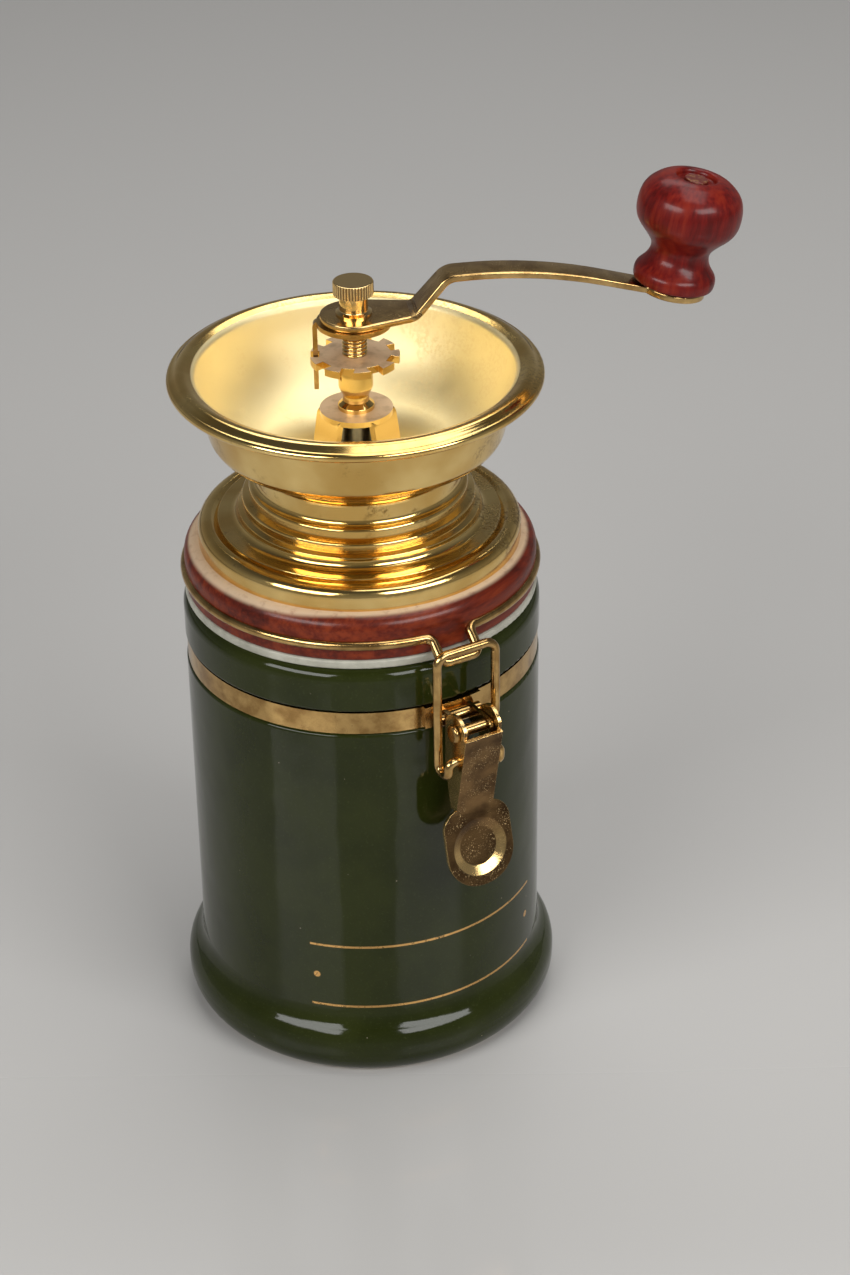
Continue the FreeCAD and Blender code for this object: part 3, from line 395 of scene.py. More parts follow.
@dataclass(frozen=True)
class SpunBrass:
    """Polished brass with rings from spinning and brown spots of tarnish."""

    name: str
    bright: Colour = srgb(242, 210, 138)
    deep: Colour = srgb(216, 176, 100)
    brown: Colour = srgb(70, 46, 20)
    roughness: float = 0.1
    ring_depth: float = 0.02
    tarnish: float = 0.6
    inside: bool = False
    inside_colour: Colour = srgb(252, 235, 184)
    inside_reach: float = 41.4
    tarnish_side: Tuple[float, float] = (6.0, 36.0)

    def build(self) -> bpy.types.Material:
        """Material of the piece."""
        graph = Graph(self.name)
        rings = graph.noise(2.6, 5.0, 0.7, graph.vector(graph.radius, 0.0, graph.z))
        cloud = graph.noise(0.06, 3.0)
        colour = graph.mix(cloud.rise(0.3, 0.7), self.bright, self.deep)
        lean = graph.x.rise(*self.tarnish_side) * 0.15 - 0.08
        patches = (graph.noise(0.11, 5.0, 0.62) + lean).rise(0.48, 0.62)
        dots = graph.noise(1.1, 4.0, 0.65).rise(0.44, 0.58)
        spots = patches * dots * self.tarnish
        rough = self.roughness + rings * 0.05 + spots * 0.35
        if self.inside:
            reach = graph.radius.most(0.001)
            normal = graph.parts(graph.normal)
            inward = 0.0 - (normal[0] * graph.x + normal[1] * graph.y) / reach
            lining = (inward * 0.6 + normal[2] * 0.8).rise(0.0, 0.2)
            lining = lining * graph.radius.fall(self.inside_reach, self.inside_reach + 0.6)
            frost = graph.noise(2.2, 3.0, 0.6)
            colour = graph.mix(lining, colour, self.inside_colour)
            spots = spots * (1.0 - lining * 0.93)
            rough = rough + lining * (0.36 + frost * 0.1)
        colour = graph.mix(spots, colour, self.brown)
        return graph.surface(colour, rough, 1.0, graph.bump(rings, self.ring_depth, 0.6))


@dataclass(frozen=True)
class KnurledBrass:
    """Polished brass with dirt in the valleys of a knurl."""

    name: str
    tip_radius: float
    top: float
    height: float = 3.6
    valley_depth: float = 0.26
    bright: Colour = srgb(238, 204, 140)
    dirt: Colour = srgb(84, 58, 30)

    def build(self) -> bpy.types.Material:
        """Material of the nut."""
        graph = Graph(self.name)
        cloud = graph.noise(0.6, 4.0, 0.6)
        valley = graph.radius.fall(self.tip_radius - self.valley_depth, self.tip_radius - 0.04)
        flank = graph.radius.rise(self.tip_radius - 0.5, self.tip_radius - 0.4)
        low = self.top - self.height
        head = graph.z.rise(low, low + 0.2)
        side = abs(graph.parts(graph.normal)[2]).fall(0.4, 0.6)
        filled = valley * (flank * head) * side
        colour = graph.mix(filled * 0.85, self.bright, self.dirt)
        rough = 0.1 + cloud * 0.08 + filled * 0.3
        return graph.surface(colour, rough, 1.0 - filled * 0.4)


@dataclass(frozen=True)
class StainedAxle:
    """Brass axle whose end in the knob took the knob's red stain."""

    name: str
    foot: Vector
    axis: Vector
    stain_height: float = 6.0
    brass: Colour = srgb(228, 192, 118)
    stain: Colour = srgb(92, 21, 13)

    def build(self) -> bpy.types.Material:
        """Material of the axle."""
        graph = Graph(self.name)
        stained = graph.along(self.foot, self.axis).rise(self.stain_height, self.stain_height + 1.0)
        wear = graph.noise(1.1, 4.0, 0.65).rise(0.5, 0.66)
        colour = graph.mix(stained, self.brass, self.stain)
        colour = graph.mix(stained * wear * 0.2, colour, self.brass)
        rough = 0.16 + stained * 0.26 + wear * 0.06
        return graph.surface(colour, rough, 1.0 - stained * 0.9)


@dataclass(frozen=True)
class PlatedSheet:
    """Pale plated steel or brass with pits, dull patches and fine scratches; where given, a pale colour on
    the faces that don't look to the front paints a highlight.
    """

    name: str
    bright: Colour
    dull: Colour
    pit: Colour
    roughness: float = 0.2
    pitting: float = 0.6
    grain: float = 0.015
    # Pale colour for the faces that don't look to the front: a painted highlight on edges and folds.
    sides: Optional[Colour] = None

    def build(self) -> bpy.types.Material:
        """Material of the piece; sides, where given, colours the faces that don't look to the front."""
        graph = Graph(self.name)
        cloud = graph.noise(0.16, 4.0, 0.6)
        colour = graph.mix(cloud.rise(0.35, 0.7), self.bright, self.dull)
        fine = graph.noise(3.0, 3.0, 0.65)
        area = graph.noise(0.2, 3.0, 0.6).rise(0.42, 0.62)
        pits = fine.rise(0.58, 0.7) * area * self.pitting
        if self.sides is not None:
            # Front faces keep the main colours and the rest take sides: a painted highlight beside the front
            # face.
            front = graph.parts(graph.normal)[1].fall(-0.97, -0.8)
            colour = graph.mix(front, self.sides, colour)
            pits = pits * front
        colour = graph.mix(pits, colour, self.pit)
        scratch = graph.noise(1.4, 3.0, 0.6, graph.vector(graph.x * 4.0, graph.y * 0.4, graph.z * 0.4))
        rough = self.roughness + cloud * 0.1 + pits * 0.3 + scratch * 0.04
        return graph.surface(colour, rough, 1.0, graph.bump(fine - pits, self.grain, 0.7))


@dataclass(frozen=True)
class StampedBrass:
    """Brass sheet whose level faces are dull and pinkish and whose sides are polished."""

    name: str = "stamped_brass"
    side: Colour = srgb(232, 196, 124)
    dull: Colour = srgb(214, 184, 146)
    stain: Colour = srgb(150, 122, 88)

    def build(self) -> bpy.types.Material:
        """Material of the sheet."""
        graph = Graph(self.name)
        level = abs(graph.parts(graph.normal)[2]).rise(0.8, 0.96)
        cloud = graph.noise(0.3, 4.0, 0.6)
        fine = graph.noise(3.0, 3.0, 0.65)
        face = graph.mix(cloud.rise(0.45, 0.75) * 0.5, self.dull, self.stain)
        colour = graph.mix(level, self.side, face)
        rough = 0.16 + level * 0.3 + fine * 0.06
        return graph.surface(colour, rough, 1.0 - level * 0.5, graph.bump(fine, 0.01, 0.6))


@dataclass(frozen=True)
class SoftSeal:
    """Off-white sealing ring, slightly see-through, dusty at its edge."""

    name: str = "seal_ring"
    pale: Colour = srgb(182, 180, 166)
    grey: Colour = srgb(150, 148, 134)

    def build(self) -> bpy.types.Material:
        """Material of the ring."""
        graph = Graph(self.name)
        cloud = graph.noise(0.12, 4.0, 0.6)
        specks = graph.noise(2.0, 3.0).rise(0.58, 0.7)
        colour = graph.mix(cloud.rise(0.3, 0.7), self.pale, self.grey)
        colour = graph.mix(specks * 0.3, colour, self.grey)
        glow = {"Subsurface Weight": 0.25, "Subsurface Radius": (0.002, 0.002, 0.0018)}
        return graph.surface(colour, 0.32 + cloud * 0.2, normal=graph.bump(cloud, 0.08, 0.6), more=glow)


@dataclass(frozen=True)
class CastIron:
    """Dark grey casting with a coarse skin."""

    name: str = "cast_iron"
    dark: Colour = srgb(58, 58, 60)
    worn: Colour = srgb(112, 110, 106)

    def build(self) -> bpy.types.Material:
        """Material of the casting."""
        graph = Graph(self.name)
        skin = graph.noise(1.3, 4.0, 0.6)
        cloud = graph.noise(0.15, 3.0)
        colour = graph.mix(skin.rise(0.45, 0.75) * 0.6 + cloud * 0.2, self.dark, self.worn)
        return graph.surface(colour, 0.5 + skin * 0.2, 0.8, graph.bump(skin, 0.12, 0.8))


class Finishes:
    """All finishes of the mill, each made once."""

    def __init__(self, knob_foot: Vector, knob_axis: Vector, lid_top: float, nut_radius: float,
                 nut_top: float) -> None:
        """Build every material.

        Args:
            knob_foot: A point on the knob's axis, in millimetres.
            knob_axis: Direction of the knob's axis.
            lid_top: Height of the lid's top, in millimetres.
            nut_radius: Largest radius of the nut's knurl, in millimetres.
            nut_top: Height of the nut's top, in millimetres.
        """
        board = Vector((0.92, 0.38, 0.05))
        self.glaze = JarGlaze().build()
        # The lid's last three numbers place its pale ring of worn varnish and painted sheen.
        self.lid_wood = TurnedWood(
            "lid_wood", GrainCut.ACROSS, srgb(54, 12, 3), srgb(92, 27, 8), srgb(124, 48, 18),
            Vector((0.0, 0.0, 0.0)), board, (43.1, 44.5, lid_top)).build()
        self.knob_wood = TurnedWood(
            "knob_wood", GrainCut.UPRIGHT, srgb(66, 6, 4), srgb(98, 13, 8), srgb(122, 32, 15),
            knob_foot, knob_axis).build()
        self.brass = SpunBrass("spun_brass").build()
        self.bowl = SpunBrass("hopper_brass", tarnish=0.35, inside=True).build()
        self.turned_brass = SpunBrass("turned_brass", tarnish=0.3, roughness=0.08, ring_depth=0.01).build()
        self.axle = StainedAxle("stained_axle", knob_foot, knob_axis).build()
        self.plated = PlatedSheet(
            "plated_steel", srgb(200, 165, 106), srgb(152, 118, 70), srgb(62, 46, 28), roughness=0.11).build()
        # Lever: front colours darkened to paint the room's dark reflection, pale sides paint the highlight on
        # its edges and folds, and the pale pit colour gives bright specks on the front face.
        self.lever = PlatedSheet(
            "lever_plating_painted_light", srgb(116, 90, 58), srgb(74, 55, 35), srgb(236, 206, 150), roughness=0.12,
            pitting=0.9, grain=0.05, sides=srgb(226, 192, 128)).build()
        self.arm = PlatedSheet(
            "crank_plating", srgb(204, 170, 112), srgb(160, 126, 76), srgb(60, 46, 28), roughness=0.11,
            pitting=0.5).build()
        self.stamped = StampedBrass().build()
        self.knurled = KnurledBrass("knurled_brass", nut_radius, nut_top).build()
        self.steel = PlatedSheet(
            "bare_steel", srgb(178, 176, 170), srgb(150, 148, 142), srgb(90, 84, 76), roughness=0.28).build()
        self.seal = SoftSeal().build()
        self.iron = CastIron().build()


def dress(name: str, material: bpy.types.Material) -> None:
    """Give a CAD node its material.

    Args:
        name: The node.
        material: Its finish.
    """
    node = frame["nodes"][name]
    node.data.materials.clear()
    node.data.materials.append(material)
    LOG.info("dressed %s with %s", name, material.name)


def linked(name: str, data: bpy.types.ID) -> bpy.types.Object:
    """New object in the scene."""
    made = bpy.data.objects.new(name, data)
    bpy.context.scene.collection.objects.link(made)
    return made


def closed_grid(name: str, points: np.ndarray, wrap_rows: bool,
                material: bpy.types.Material) -> bpy.types.Object:
    """Smooth mesh over a grid whose columns close on themselves.

    Each quad joins four neighbours of the grid; points that fall together are merged.

    Args:
        name: Name of the piece.
        points: Grid of shape rows, columns, 3, in millimetres.
        wrap_rows: Whether the last row joins the first.
        material: Its finish.

    Returns:
        The new object, linked to the scene.
    """
    rows, columns = points.shape[:2]
    index = np.arange(rows * columns).reshape(rows, columns)
    index = np.concatenate([index, index[:, :1]], axis=1)
    if wrap_rows:
        index = np.concatenate([index, index[:1]], axis=0)
    corners = [index[:-1, :-1], index[:-1, 1:], index[1:, 1:], index[1:, :-1]]
    quads = np.stack(corners, axis=-1).reshape(-1, 4)
    mesh = bpy.data.meshes.new(name)
    mesh.from_pydata((points.reshape(-1, 3) * MILLIMETRE).tolist(), [], quads.tolist())
    work = bmesh.new()
    work.from_mesh(mesh)
    bmesh.ops.remove_doubles(work, verts=work.verts, dist=1e-7)
    bmesh.ops.recalc_face_normals(work, faces=work.faces)
    work.to_mesh(mesh)
    work.free()
    mesh.shade_smooth()
    mesh.materials.append(material)
    LOG.info("built %s", name)
    return linked(name, mesh)


@dataclass(frozen=True)
class NodeCopy:
    """Copy of a CAD node that stands in its place: the node, its body, a material slot that is not used, and
    finish.
    """

    name: str
    body: str
    slot: str
    material: bpy.types.Material

    def merged(self, suffix: str, flat_angle: float = 0.0) -> bpy.types.Object:
        """New object with a copy of the node's mesh, its points merged.

        Args:
            suffix: What the new name adds to the node's.
            flat_angle: Triangles that meet at less than this angle are joined, in degrees; none at 0.

        Returns:
            The new object, linked to the scene.
        """
        mesh = frame["nodes"][self.name].data.copy()
        mesh.name = self.name + suffix
        work = bmesh.new()
        work.from_mesh(mesh)
        bmesh.ops.remove_doubles(work, verts=work.verts, dist=MERGE_REACH)
        if flat_angle > 0.0:
            limit = math.radians(flat_angle)
            bmesh.ops.dissolve_limit(work, angle_limit=limit, verts=work.verts, edges=work.edges)
        work.to_mesh(mesh)
        work.free()
        if mesh.has_custom_normals:
            bpy.context.view_layer.update()
            mesh.attributes.remove(mesh.attributes["custom_normal"])
        mesh.shade_smooth()
        mesh.materials.clear()
        mesh.materials.append(self.material)
        return linked(self.name + suffix, mesh)

    def settle(self, made: bpy.types.Object) -> None:
        """Put a finished copy on its body, in the node's place."""
        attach(made, self.body)
        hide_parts(self.name)
        LOG.info("built %s", made.name)

    def fuller(self, extra: float) -> None:
        """Wire with its skin further out, by an extra in millimetres: each point moves along its normal."""
        made = self.merged("_full")
        mesh = made.data
        points = np.empty(3 * len(mesh.vertices))
        outward = np.empty(3 * len(mesh.vertices))
        mesh.vertices.foreach_get("co", points)
        mesh.vertex_normals.foreach_get("vector", outward)
        mesh.vertices.foreach_set("co", points + outward * extra * MILLIMETRE)
        mesh.update()
        self.settle(made)

    def softened(self, width: float) -> None:
        """Stamped sheet with its triangles joined and its edges rounded, to a width in millimetres."""
        made = self.merged("_soft", FLAT_ANGLE)
        bevel = made.modifiers.new("edges", "BEVEL")
        bevel.width = width * MILLIMETRE
        bevel.segments = 2
        bevel.limit_method = "ANGLE"
        bevel.angle_limit = math.radians(EDGE_ANGLE)
        bevel.harden_normals = True
        self.settle(made)


def heights(node: str) -> Tuple[float, float]:
    """Lowest and highest point of a CAD node, in millimetres."""
    low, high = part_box(node)
    return low.z / MILLIMETRE, high.z / MILLIMETRE


def knob_line() -> Tuple[Vector, Vector]:
    """Point and direction of the knob's axis, from the record's joint."""
    joint = next(joint for joint in frame["joints"] if joint["name"] == "knob_spin")
    return Vector(joint["pos_m"]) / MILLIMETRE, Vector(joint["axis"]).normalized()


def reach_along(node: str, origin: Vector, axis: Vector) -> Tuple[float, float]:
    """Lowest and highest point of a CAD node along an axis.

    Args:
        node: The node.
        origin: Where the axis counts from, in millimetres.
        axis: Direction of the axis.

    Returns:
        The two distances, in millimetres.
    """
    mesh = frame["nodes"][node].data
    points = np.empty(len(mesh.vertices) * 3)
    mesh.vertices.foreach_get("co", points)
    along = (points.reshape(-1, 3) / MILLIMETRE - np.array(origin)) @ np.array(axis)
    return float(along.min()), float(along.max())


def rounded_corner(corners: np.ndarray, rounding: float, count: int) -> np.ndarray:
    """Arc that rounds the middle one of three corners.

    The arc's centre lies on the bisector, at the rounding over the sine of the half angle.

    Args:
        corners: Three points of shape 3, 2.
        rounding: Radius of the arc.
        count: Number of points.

    Returns:
        Points of the arc from the first run to the second.
    """
    before = corners[0] - corners[1]
    after = corners[2] - corners[1]
    before /= np.linalg.norm(before)
    after /= np.linalg.norm(after)
    half = math.acos(float(np.clip(before @ after, -1.0, 1.0))) / 2
    bisector = (before + after) / np.linalg.norm(before + after)
    centre = corners[1] + bisector * rounding / math.sin(half)
    reach = rounding / math.tan(half)
    start = corners[1] + before * reach - centre
    end = corners[1] + after * reach - centre
    sweep = math.pi - 2 * half
    share = np.linspace(0.0, 1.0, count)[:, None]
    return centre + (np.sin((1 - share) * sweep) * start + np.sin(share * sweep) * end) / math.sin(sweep)


def left_of(ahead: np.ndarray) -> np.ndarray:
    """Unit vectors to the left of directions, both of shape any, 2."""
    left = np.stack([-ahead[:, 1], ahead[:, 0]], axis=1)
    return left / np.linalg.norm(left, axis=1, keepdims=True)


def moved_left(corners: np.ndarray, distance: float) -> np.ndarray:
    """Line moved to its left: each corner moves along the mitre of its two sides.

    Args:
        corners: Points of shape any, 2.
        distance: How far the sides move.

    Returns:
        The moved corners.
    """
    left = left_of(np.diff(corners, axis=0))
    share = 1.0 + np.sum(left[:-1] * left[1:], axis=1, keepdims=True)
    mitre = (left[:-1] + left[1:]) / share
    return corners + distance * np.concatenate([left[:1], mitre, left[-1:]])


def cut_corners(corners: Sequence[Tuple[float, float]], rounds: int) -> np.ndarray:
    """Smooth line from its corners: each side keeps its quarter points, time after time.

    Args:
        corners: Corners of the line; both ends stay.
        rounds: How often the corners are cut.

    Returns:
        Points of the line.
    """
    line = np.array(corners)
    for _ in range(rounds):
        first = 0.75 * line[:-1] + 0.25 * line[1:]
        second = 0.25 * line[:-1] + 0.75 * line[1:]
        inner = np.stack([first, second], axis=1).reshape(-1, 2)
        line = np.concatenate([line[:1], inner, line[-1:]])
    return line


def dense(line: np.ndarray, count: int, end_share: float = 0.08, end_count: int = 24) -> np.ndarray:
    """Points at even steps along a line, closer together at its two ends.

    Args:
        line: Points of shape any, 2.
        count: Number of points wanted.
        end_share: Share of the length that counts as an end.
        end_count: Number of extra points at each end.

    Returns:
        The new points.
    """
    steps = np.linalg.norm(np.diff(line, axis=0), axis=1)
    length = np.concatenate([[0.0], np.cumsum(steps)])
    even = np.linspace(0.0, length[-1], count)
    ends = length[-1] * end_share * (1 - np.cos(np.linspace(0.0, np.pi / 2, end_count)))
    places = np.unique(np.concatenate([even, length, ends, length[-1] - ends]).round(4))
    return np.stack([np.interp(places, length, line[:, axis]) for axis in range(2)], axis=1)


@dataclass
class JarBody:
    """Jar, strap, brackets and rivets, which stand still."""

    edge: float = 0.22

    def dress(self, finishes: Finishes) -> None:
        """Finish the jar's pieces."""
        dress("ceramic_jar", finishes.glaze)
        for name in ("clamp_band", "band_roll", "lever_rivet", "hinge_rivets"):
            dress(name, finishes.plated)
        for name in ("clamp_bracket", "hinge_bracket"):
            NodeCopy(name, "jar", "plated_steel", finishes.plated).softened(self.edge)


@dataclass
class Hopper:
    """Spun bowl with a funnel floor, a rolled lip and an inside in one sweep; sizes in millimetres."""

    hole_radius: float = 14.0
    floor_slope: float = 18.0
    corner_radius: float = 37.5
    corner_rounding: float = 6.0
    mouth_radius: float = 41.7
    mouth_rise: float = 25.7
    crest_radius: float = 44.4
    crest_rise: float = 1.0
    hem_radius: float = 46.8
    hem_drop: float = 0.7
    hem_tube: float = 1.2
    sheet: float = 1.0
    sweep_start: float = 25.2
    wall_share: float = 0.86
    hem_points: int = 44
    sweep_points: int = 56
    columns: int = 240

    def under_line(self) -> np.ndarray:
        """Corners of the sheet's under side, from the hole to the hem."""
        low = heights("hopper_bowl")[0]
        slope = math.tan(math.radians(self.floor_slope))
        corner_height = low + (self.corner_radius - self.hole_radius) * slope
        mouth = low + self.mouth_rise
        return np.array([
            (self.hole_radius, low), (self.corner_radius, corner_height), (self.mouth_radius, mouth),
            (self.crest_radius, mouth + self.crest_rise), (self.hem_radius, mouth - self.hem_drop)])

    def hem_arc(self, line: np.ndarray) -> np.ndarray:
        """Round hem about the line's end, from the sheet's under side round to its upper side."""
        ahead = line[-1] - line[-2]
        bearing = math.atan2(ahead[1], ahead[0])
        upper = math.acos(-math.sqrt(self.hem_tube ** 2 - self.sheet ** 2) / self.hem_tube)
        angle = bearing + np.linspace(math.pi, 2 * math.pi + upper, self.hem_points)
        return line[-1] + self.hem_tube * np.stack([np.cos(angle), np.sin(angle)], axis=1)

    def sweep(self, upper: np.ndarray) -> np.ndarray:
        """Inside from mouth to floor: a parabola that runs out along the wall's and the floor's lines."""
        wall = upper[1] + (upper[2] - upper[1]) * self.wall_share
        share = (self.sweep_start - upper[0, 0]) / (upper[1, 0] - upper[0, 0])
        floor = upper[0] + (upper[1] - upper[0]) * share
        step = np.linspace(0.0, 1.0, self.sweep_points)[:, None]
        return wall * (1 - step) ** 2 + 2 * upper[1] * step * (1 - step) + floor * step ** 2

    def build(self, finishes: Finishes) -> None:
        """Bowl turned from the closed outline: each point goes round the axis at its radius and height."""
        under = self.under_line()
        upper = moved_left(under, self.sheet)
        outline = np.concatenate([
            under[:1],
            rounded_corner(under[0:3], self.corner_rounding, count=22),
            rounded_corner(under[1:4], self.sheet, count=8),
            rounded_corner(under[2:5], 2 * self.sheet, count=12),
            self.hem_arc(under),
            rounded_corner(upper[2:5], 3 * self.sheet, count=16)[::-1],
            rounded_corner(upper[1:4], 2 * self.sheet, count=12)[::-1],
            self.sweep(upper),
            upper[:1]])
        turn = np.linspace(0.0, 2 * np.pi, self.columns, endpoint=False)[None, :]
        radius, height = outline[:, 0][:, None], outline[:, 1][:, None]
        points = np.stack([radius * np.sin(turn), -radius * np.cos(turn), height + 0.0 * turn], axis=-1)
        bowl = closed_grid("hopper_spun", points, True, finishes.bowl)
        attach(bowl, "lid")
        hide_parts("hopper_bowl")


@dataclass
class LidAssembly:
    """Wooden lid, seal, wire, stepped foot, hopper and its bridge."""

    edge: float = 0.3
    wire_extra: float = 0.22

    def dress(self, finishes: Finishes) -> None:
        """Finish the lid's pieces."""
        dress("wooden_lid", finishes.lid_wood)
        dress("lid_seal", finishes.seal)
        NodeCopy("lid_wire", "lid", "plated_steel", finishes.plated).fuller(self.wire_extra)
        dress("base_flange", finishes.brass)
        Hopper().build(finishes)
        dress("bridge_rivets", finishes.stamped)
        dress("shaft_bush", finishes.turned_brass)
        NodeCopy("bearing_bridge", "lid", "brass", finishes.stamped).softened(self.edge)


@dataclass
class GrindingWorks:
    """Housing, burrs and fasteners under the lid."""

    def dress(self, finishes: Finishes) -> None:
        """Finish the works."""
        for name in ("burr_housing", "outer_burr", "inner_burr", "lower_bridge"):
            dress(name, finishes.iron)
        for name in ("housing_screws", "lower_bridge_screws", "burr_spring", "burr_nut", "drive_shaft"):
            dress(name, finishes.steel)


@dataclass
class Crank:
    """Shaft thread, star wheel, stop plate, bowed arm, knob and thumb nut; sizes in millimetres."""

    thread_core: float = 2.8
    thread_tip: float = 3.2
    thread_pitch: float = 1.0
    thread_ends: Tuple[float, float] = (0.2, 1.2)
    thread_wall: float = 0.5
    ridge_power: float = 0.8
    thread_rows: int = 100
    thread_columns: int = 72
    bearing: float = 68.0
    thickness: float = 1.8
    edge: float = 0.42
    star_edge: float = 0.25
    stop_edge: float = 0.2
    hub_radius: float = 8.6
    hub_run: float = 15.7
    crest_run: float = 24.0
    crest_rise: float = 9.6
    crest_slope: float = 2.0
    knee_run: float = 45.5
    end_slope: float = 15.0
    eye_slope: float = 11.0
    bow_share: float = 0.85
    bend: float = 4.0
    half_widths: Tuple[float, float, float] = (4.8, 4.1, 3.5)
    set_over: Tuple[float, float, float] = (0.6, 0.5, 0.0)
    reach: float = 81.4
    eye_radius: float = 8.2
    blend_share: float = 0.2
    bend_points: int = 18
    arm_points: int = 260
    corner_points: int = 6
    knob_rounds: int = 4
    knob_columns: int = 96
    knob_profile: Tuple[Tuple[float, float], ...] = (
        (2.7, 0.0), (9.9, 0.0), (10.5, 1.0), (10.5, 3.4), (8.9, 5.2), (7.6, 7.4), (7.4, 10.0), (9.4, 12.6),
        (12.4, 15.6), (13.35, 18.2), (13.35, 22.0), (12.3, 25.2), (9.1, 28.0), (6.4, 28.85), (5.5, 28.85),
        (5.0, 28.2), (4.9, 27.2), (2.7, 27.2))

    def build_thread(self, finishes: Finishes) -> None:
        """Thread between star wheel and stop plate.

        Radius is the core plus a rounded ridge of the phase: height over pitch less the turn.
        An inner wall inside the shaft closes the sleeve.
        """
        low = heights("star_wheel")[1] - self.thread_ends[0]
        high = heights("stop_plate")[1] - self.thread_ends[1]
        turn = np.linspace(0.0, 2 * np.pi, self.thread_columns, endpoint=False)[None, :]
        height = np.linspace(low, high, self.thread_rows)[:, None]
        phase = height / self.thread_pitch - turn / (2 * np.pi)
        ridge = 0.5 - 0.5 * np.cos(2 * np.pi * phase)
        radius = self.thread_core + (self.thread_tip - self.thread_core) * ridge ** self.ridge_power
        inner = np.full((1, turn.size), self.thread_core - self.thread_wall)
        radius = np.concatenate([inner, radius, inner], axis=0)
        level = np.concatenate([height[:1], height, height[-1:]], axis=0) + 0.0 * turn
        points = np.stack([radius * np.sin(turn), -radius * np.cos(turn), level], axis=-1)
        thread = closed_grid("shaft_thread", points, True, finishes.turned_brass)
        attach(thread, "crank")

    def arm_line(self) -> np.ndarray:
        """Middle line of the arm as run and height above the arm's foot.

        Straight runs meet in arcs; each arc turns between the directions of its two runs.

        Returns:
            Points along the line, of shape count, 2.
        """
        rise = math.tan(math.radians(self.crest_slope))
        knee_rise = self.crest_rise + (self.knee_run - self.crest_run) * rise
        eye_start = self.reach - self.eye_radius
        eye_rise = knee_rise - (eye_start - self.knee_run) * math.tan(math.radians(self.end_slope))
        end = self.reach + self.eye_radius
        end_rise = eye_rise - (end - eye_start) * math.tan(math.radians(self.eye_slope))
        corners = np.array([
            (-self.hub_radius, 0.0), (self.hub_run, 0.0), (self.crest_run, self.crest_rise),
            (self.knee_run, knee_rise), (eye_start, eye_rise), (end, end_rise)])
        half_turn = math.radians(self.crest_slope + self.end_slope) / 2
        bow = self.bow_share * (self.knee_run - self.crest_run) / math.tan(half_turn)
        roundings = (self.bend, self.bend, bow, self.bend)
        stretches: List[np.ndarray] = [corners[:1]]
        for index, rounding in enumerate(roundings, start=1):
            stretches.append(rounded_corner(corners[index - 1:index + 2], rounding, self.bend_points))
        stretches.append(corners[-1:])
        return dense(np.concatenate(stretches), self.arm_points)

    def plan(self, run: np.ndarray) -> Tuple[np.ndarray, np.ndarray]:
        """Middle and half width at a run: the widest of hub disc, tapered strip and eye disc.

        The strip is set over to one side by a share of its taper, the two discs are not.

        Args:
            run: Distances from the shaft.

        Returns:
            Places of the middle and half widths, as columns.
        """
        hub = np.sqrt(np.clip(self.hub_radius ** 2 - run ** 2, 0.0, None))
        eye = np.sqrt(np.clip(self.eye_radius ** 2 - (run - self.reach) ** 2, 0.0, None))
        disc = np.maximum(hub, eye)
        blend = self.blend_share * self.hub_radius
        stations = np.array([blend, self.hub_run, self.crest_run, self.reach])
        widths = np.array([math.sqrt(self.hub_radius ** 2 - blend ** 2), *self.half_widths])
        strip = np.interp(run, stations, widths, left=0.0, right=0.0)
        aside = np.interp(run, stations, np.array([0.0, *self.set_over]))
        far = np.maximum(disc, strip + aside)
        near = np.maximum(disc, strip - aside)
        return ((far - near) / 2)[:, None], ((far + near) / 2)[:, None]

    def build_arm(self, finishes: Finishes) -> None:
        """Bowed arm: a rounded rectangle carried along the middle line, its width from the plan."""
        line = self.arm_line()
        foot = heights("stop_plate")[1]
        left = left_of(np.gradient(line, axis=0))
        middle = line + left * (self.thickness / 2)
        shift, half = self.plan(line[:, 0])
        corner = np.minimum(self.edge, half)
        quarter = np.linspace(0.0, np.pi / 2, self.corner_points)[None, :]
        angle = (quarter + np.arange(4)[:, None] * np.pi / 2).reshape(1, -1)
        side = np.repeat(np.array([1.0, -1.0, -1.0, 1.0]), self.corner_points)[None, :]
        upper = np.repeat(np.array([1.0, 1.0, -1.0, -1.0]), self.corner_points)[None, :]
        across = shift + side * (half - corner) + corner * np.cos(angle)
        up = upper * (self.thickness / 2 - corner) + corner * np.sin(angle)
        run = middle[:, :1] + left[:, :1] * up
        height = foot + middle[:, 1:] + left[:, 1:] * up
        turn = math.radians(self.bearing)
        x = run * math.sin(turn) + across * math.cos(turn)
        y = -run * math.cos(turn) + across * math.sin(turn)
        arm = closed_grid("crank_arm_bowed", np.stack([x, y, height], axis=-1), False, finishes.arm)
        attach(arm, "crank")
        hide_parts("crank_arm")

    def build_knob(self, finishes: Finishes) -> None:
        """Knob turned from its profile.

        Each point is the knob's foot, plus its height along the axis, plus its radius across it.
        """
        foot, axis = knob_line()
        low = reach_along("wooden_knob", foot, axis)[0]
        profile = cut_corners(self.knob_profile, self.knob_rounds)
        turn = np.linspace(0.0, 2 * np.pi, self.knob_columns, endpoint=False)[None, :, None]
        across = np.array(axis.orthogonal().normalized())
        other = np.cross(np.array(axis), across)
        spoke = across * np.cos(turn) + other * np.sin(turn)
        radius = profile[:, 0][:, None, None]
        height = profile[:, 1][:, None, None] + low
        points = np.array(foot) + height * np.array(axis) + radius * spoke
        knob = closed_grid("knob_turned", points, True, finishes.knob_wood)
        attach(knob, "knob")
        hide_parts("wooden_knob")

    def dress(self, finishes: Finishes) -> None:
        """Finish the crank's pieces."""
        self.build_thread(finishes)
        self.build_arm(finishes)
        self.build_knob(finishes)
        NodeCopy("star_wheel", "crank", "brass", finishes.stamped).softened(self.star_edge)
        NodeCopy("stop_plate", "crank", "brass", finishes.arm).softened(self.stop_edge)
        dress("ball_collar", finishes.turned_brass)
        dress("knob_axle", finishes.axle)
        dress("knob_washer", finishes.turned_brass)
        dress("thumb_nut", finishes.knurled)


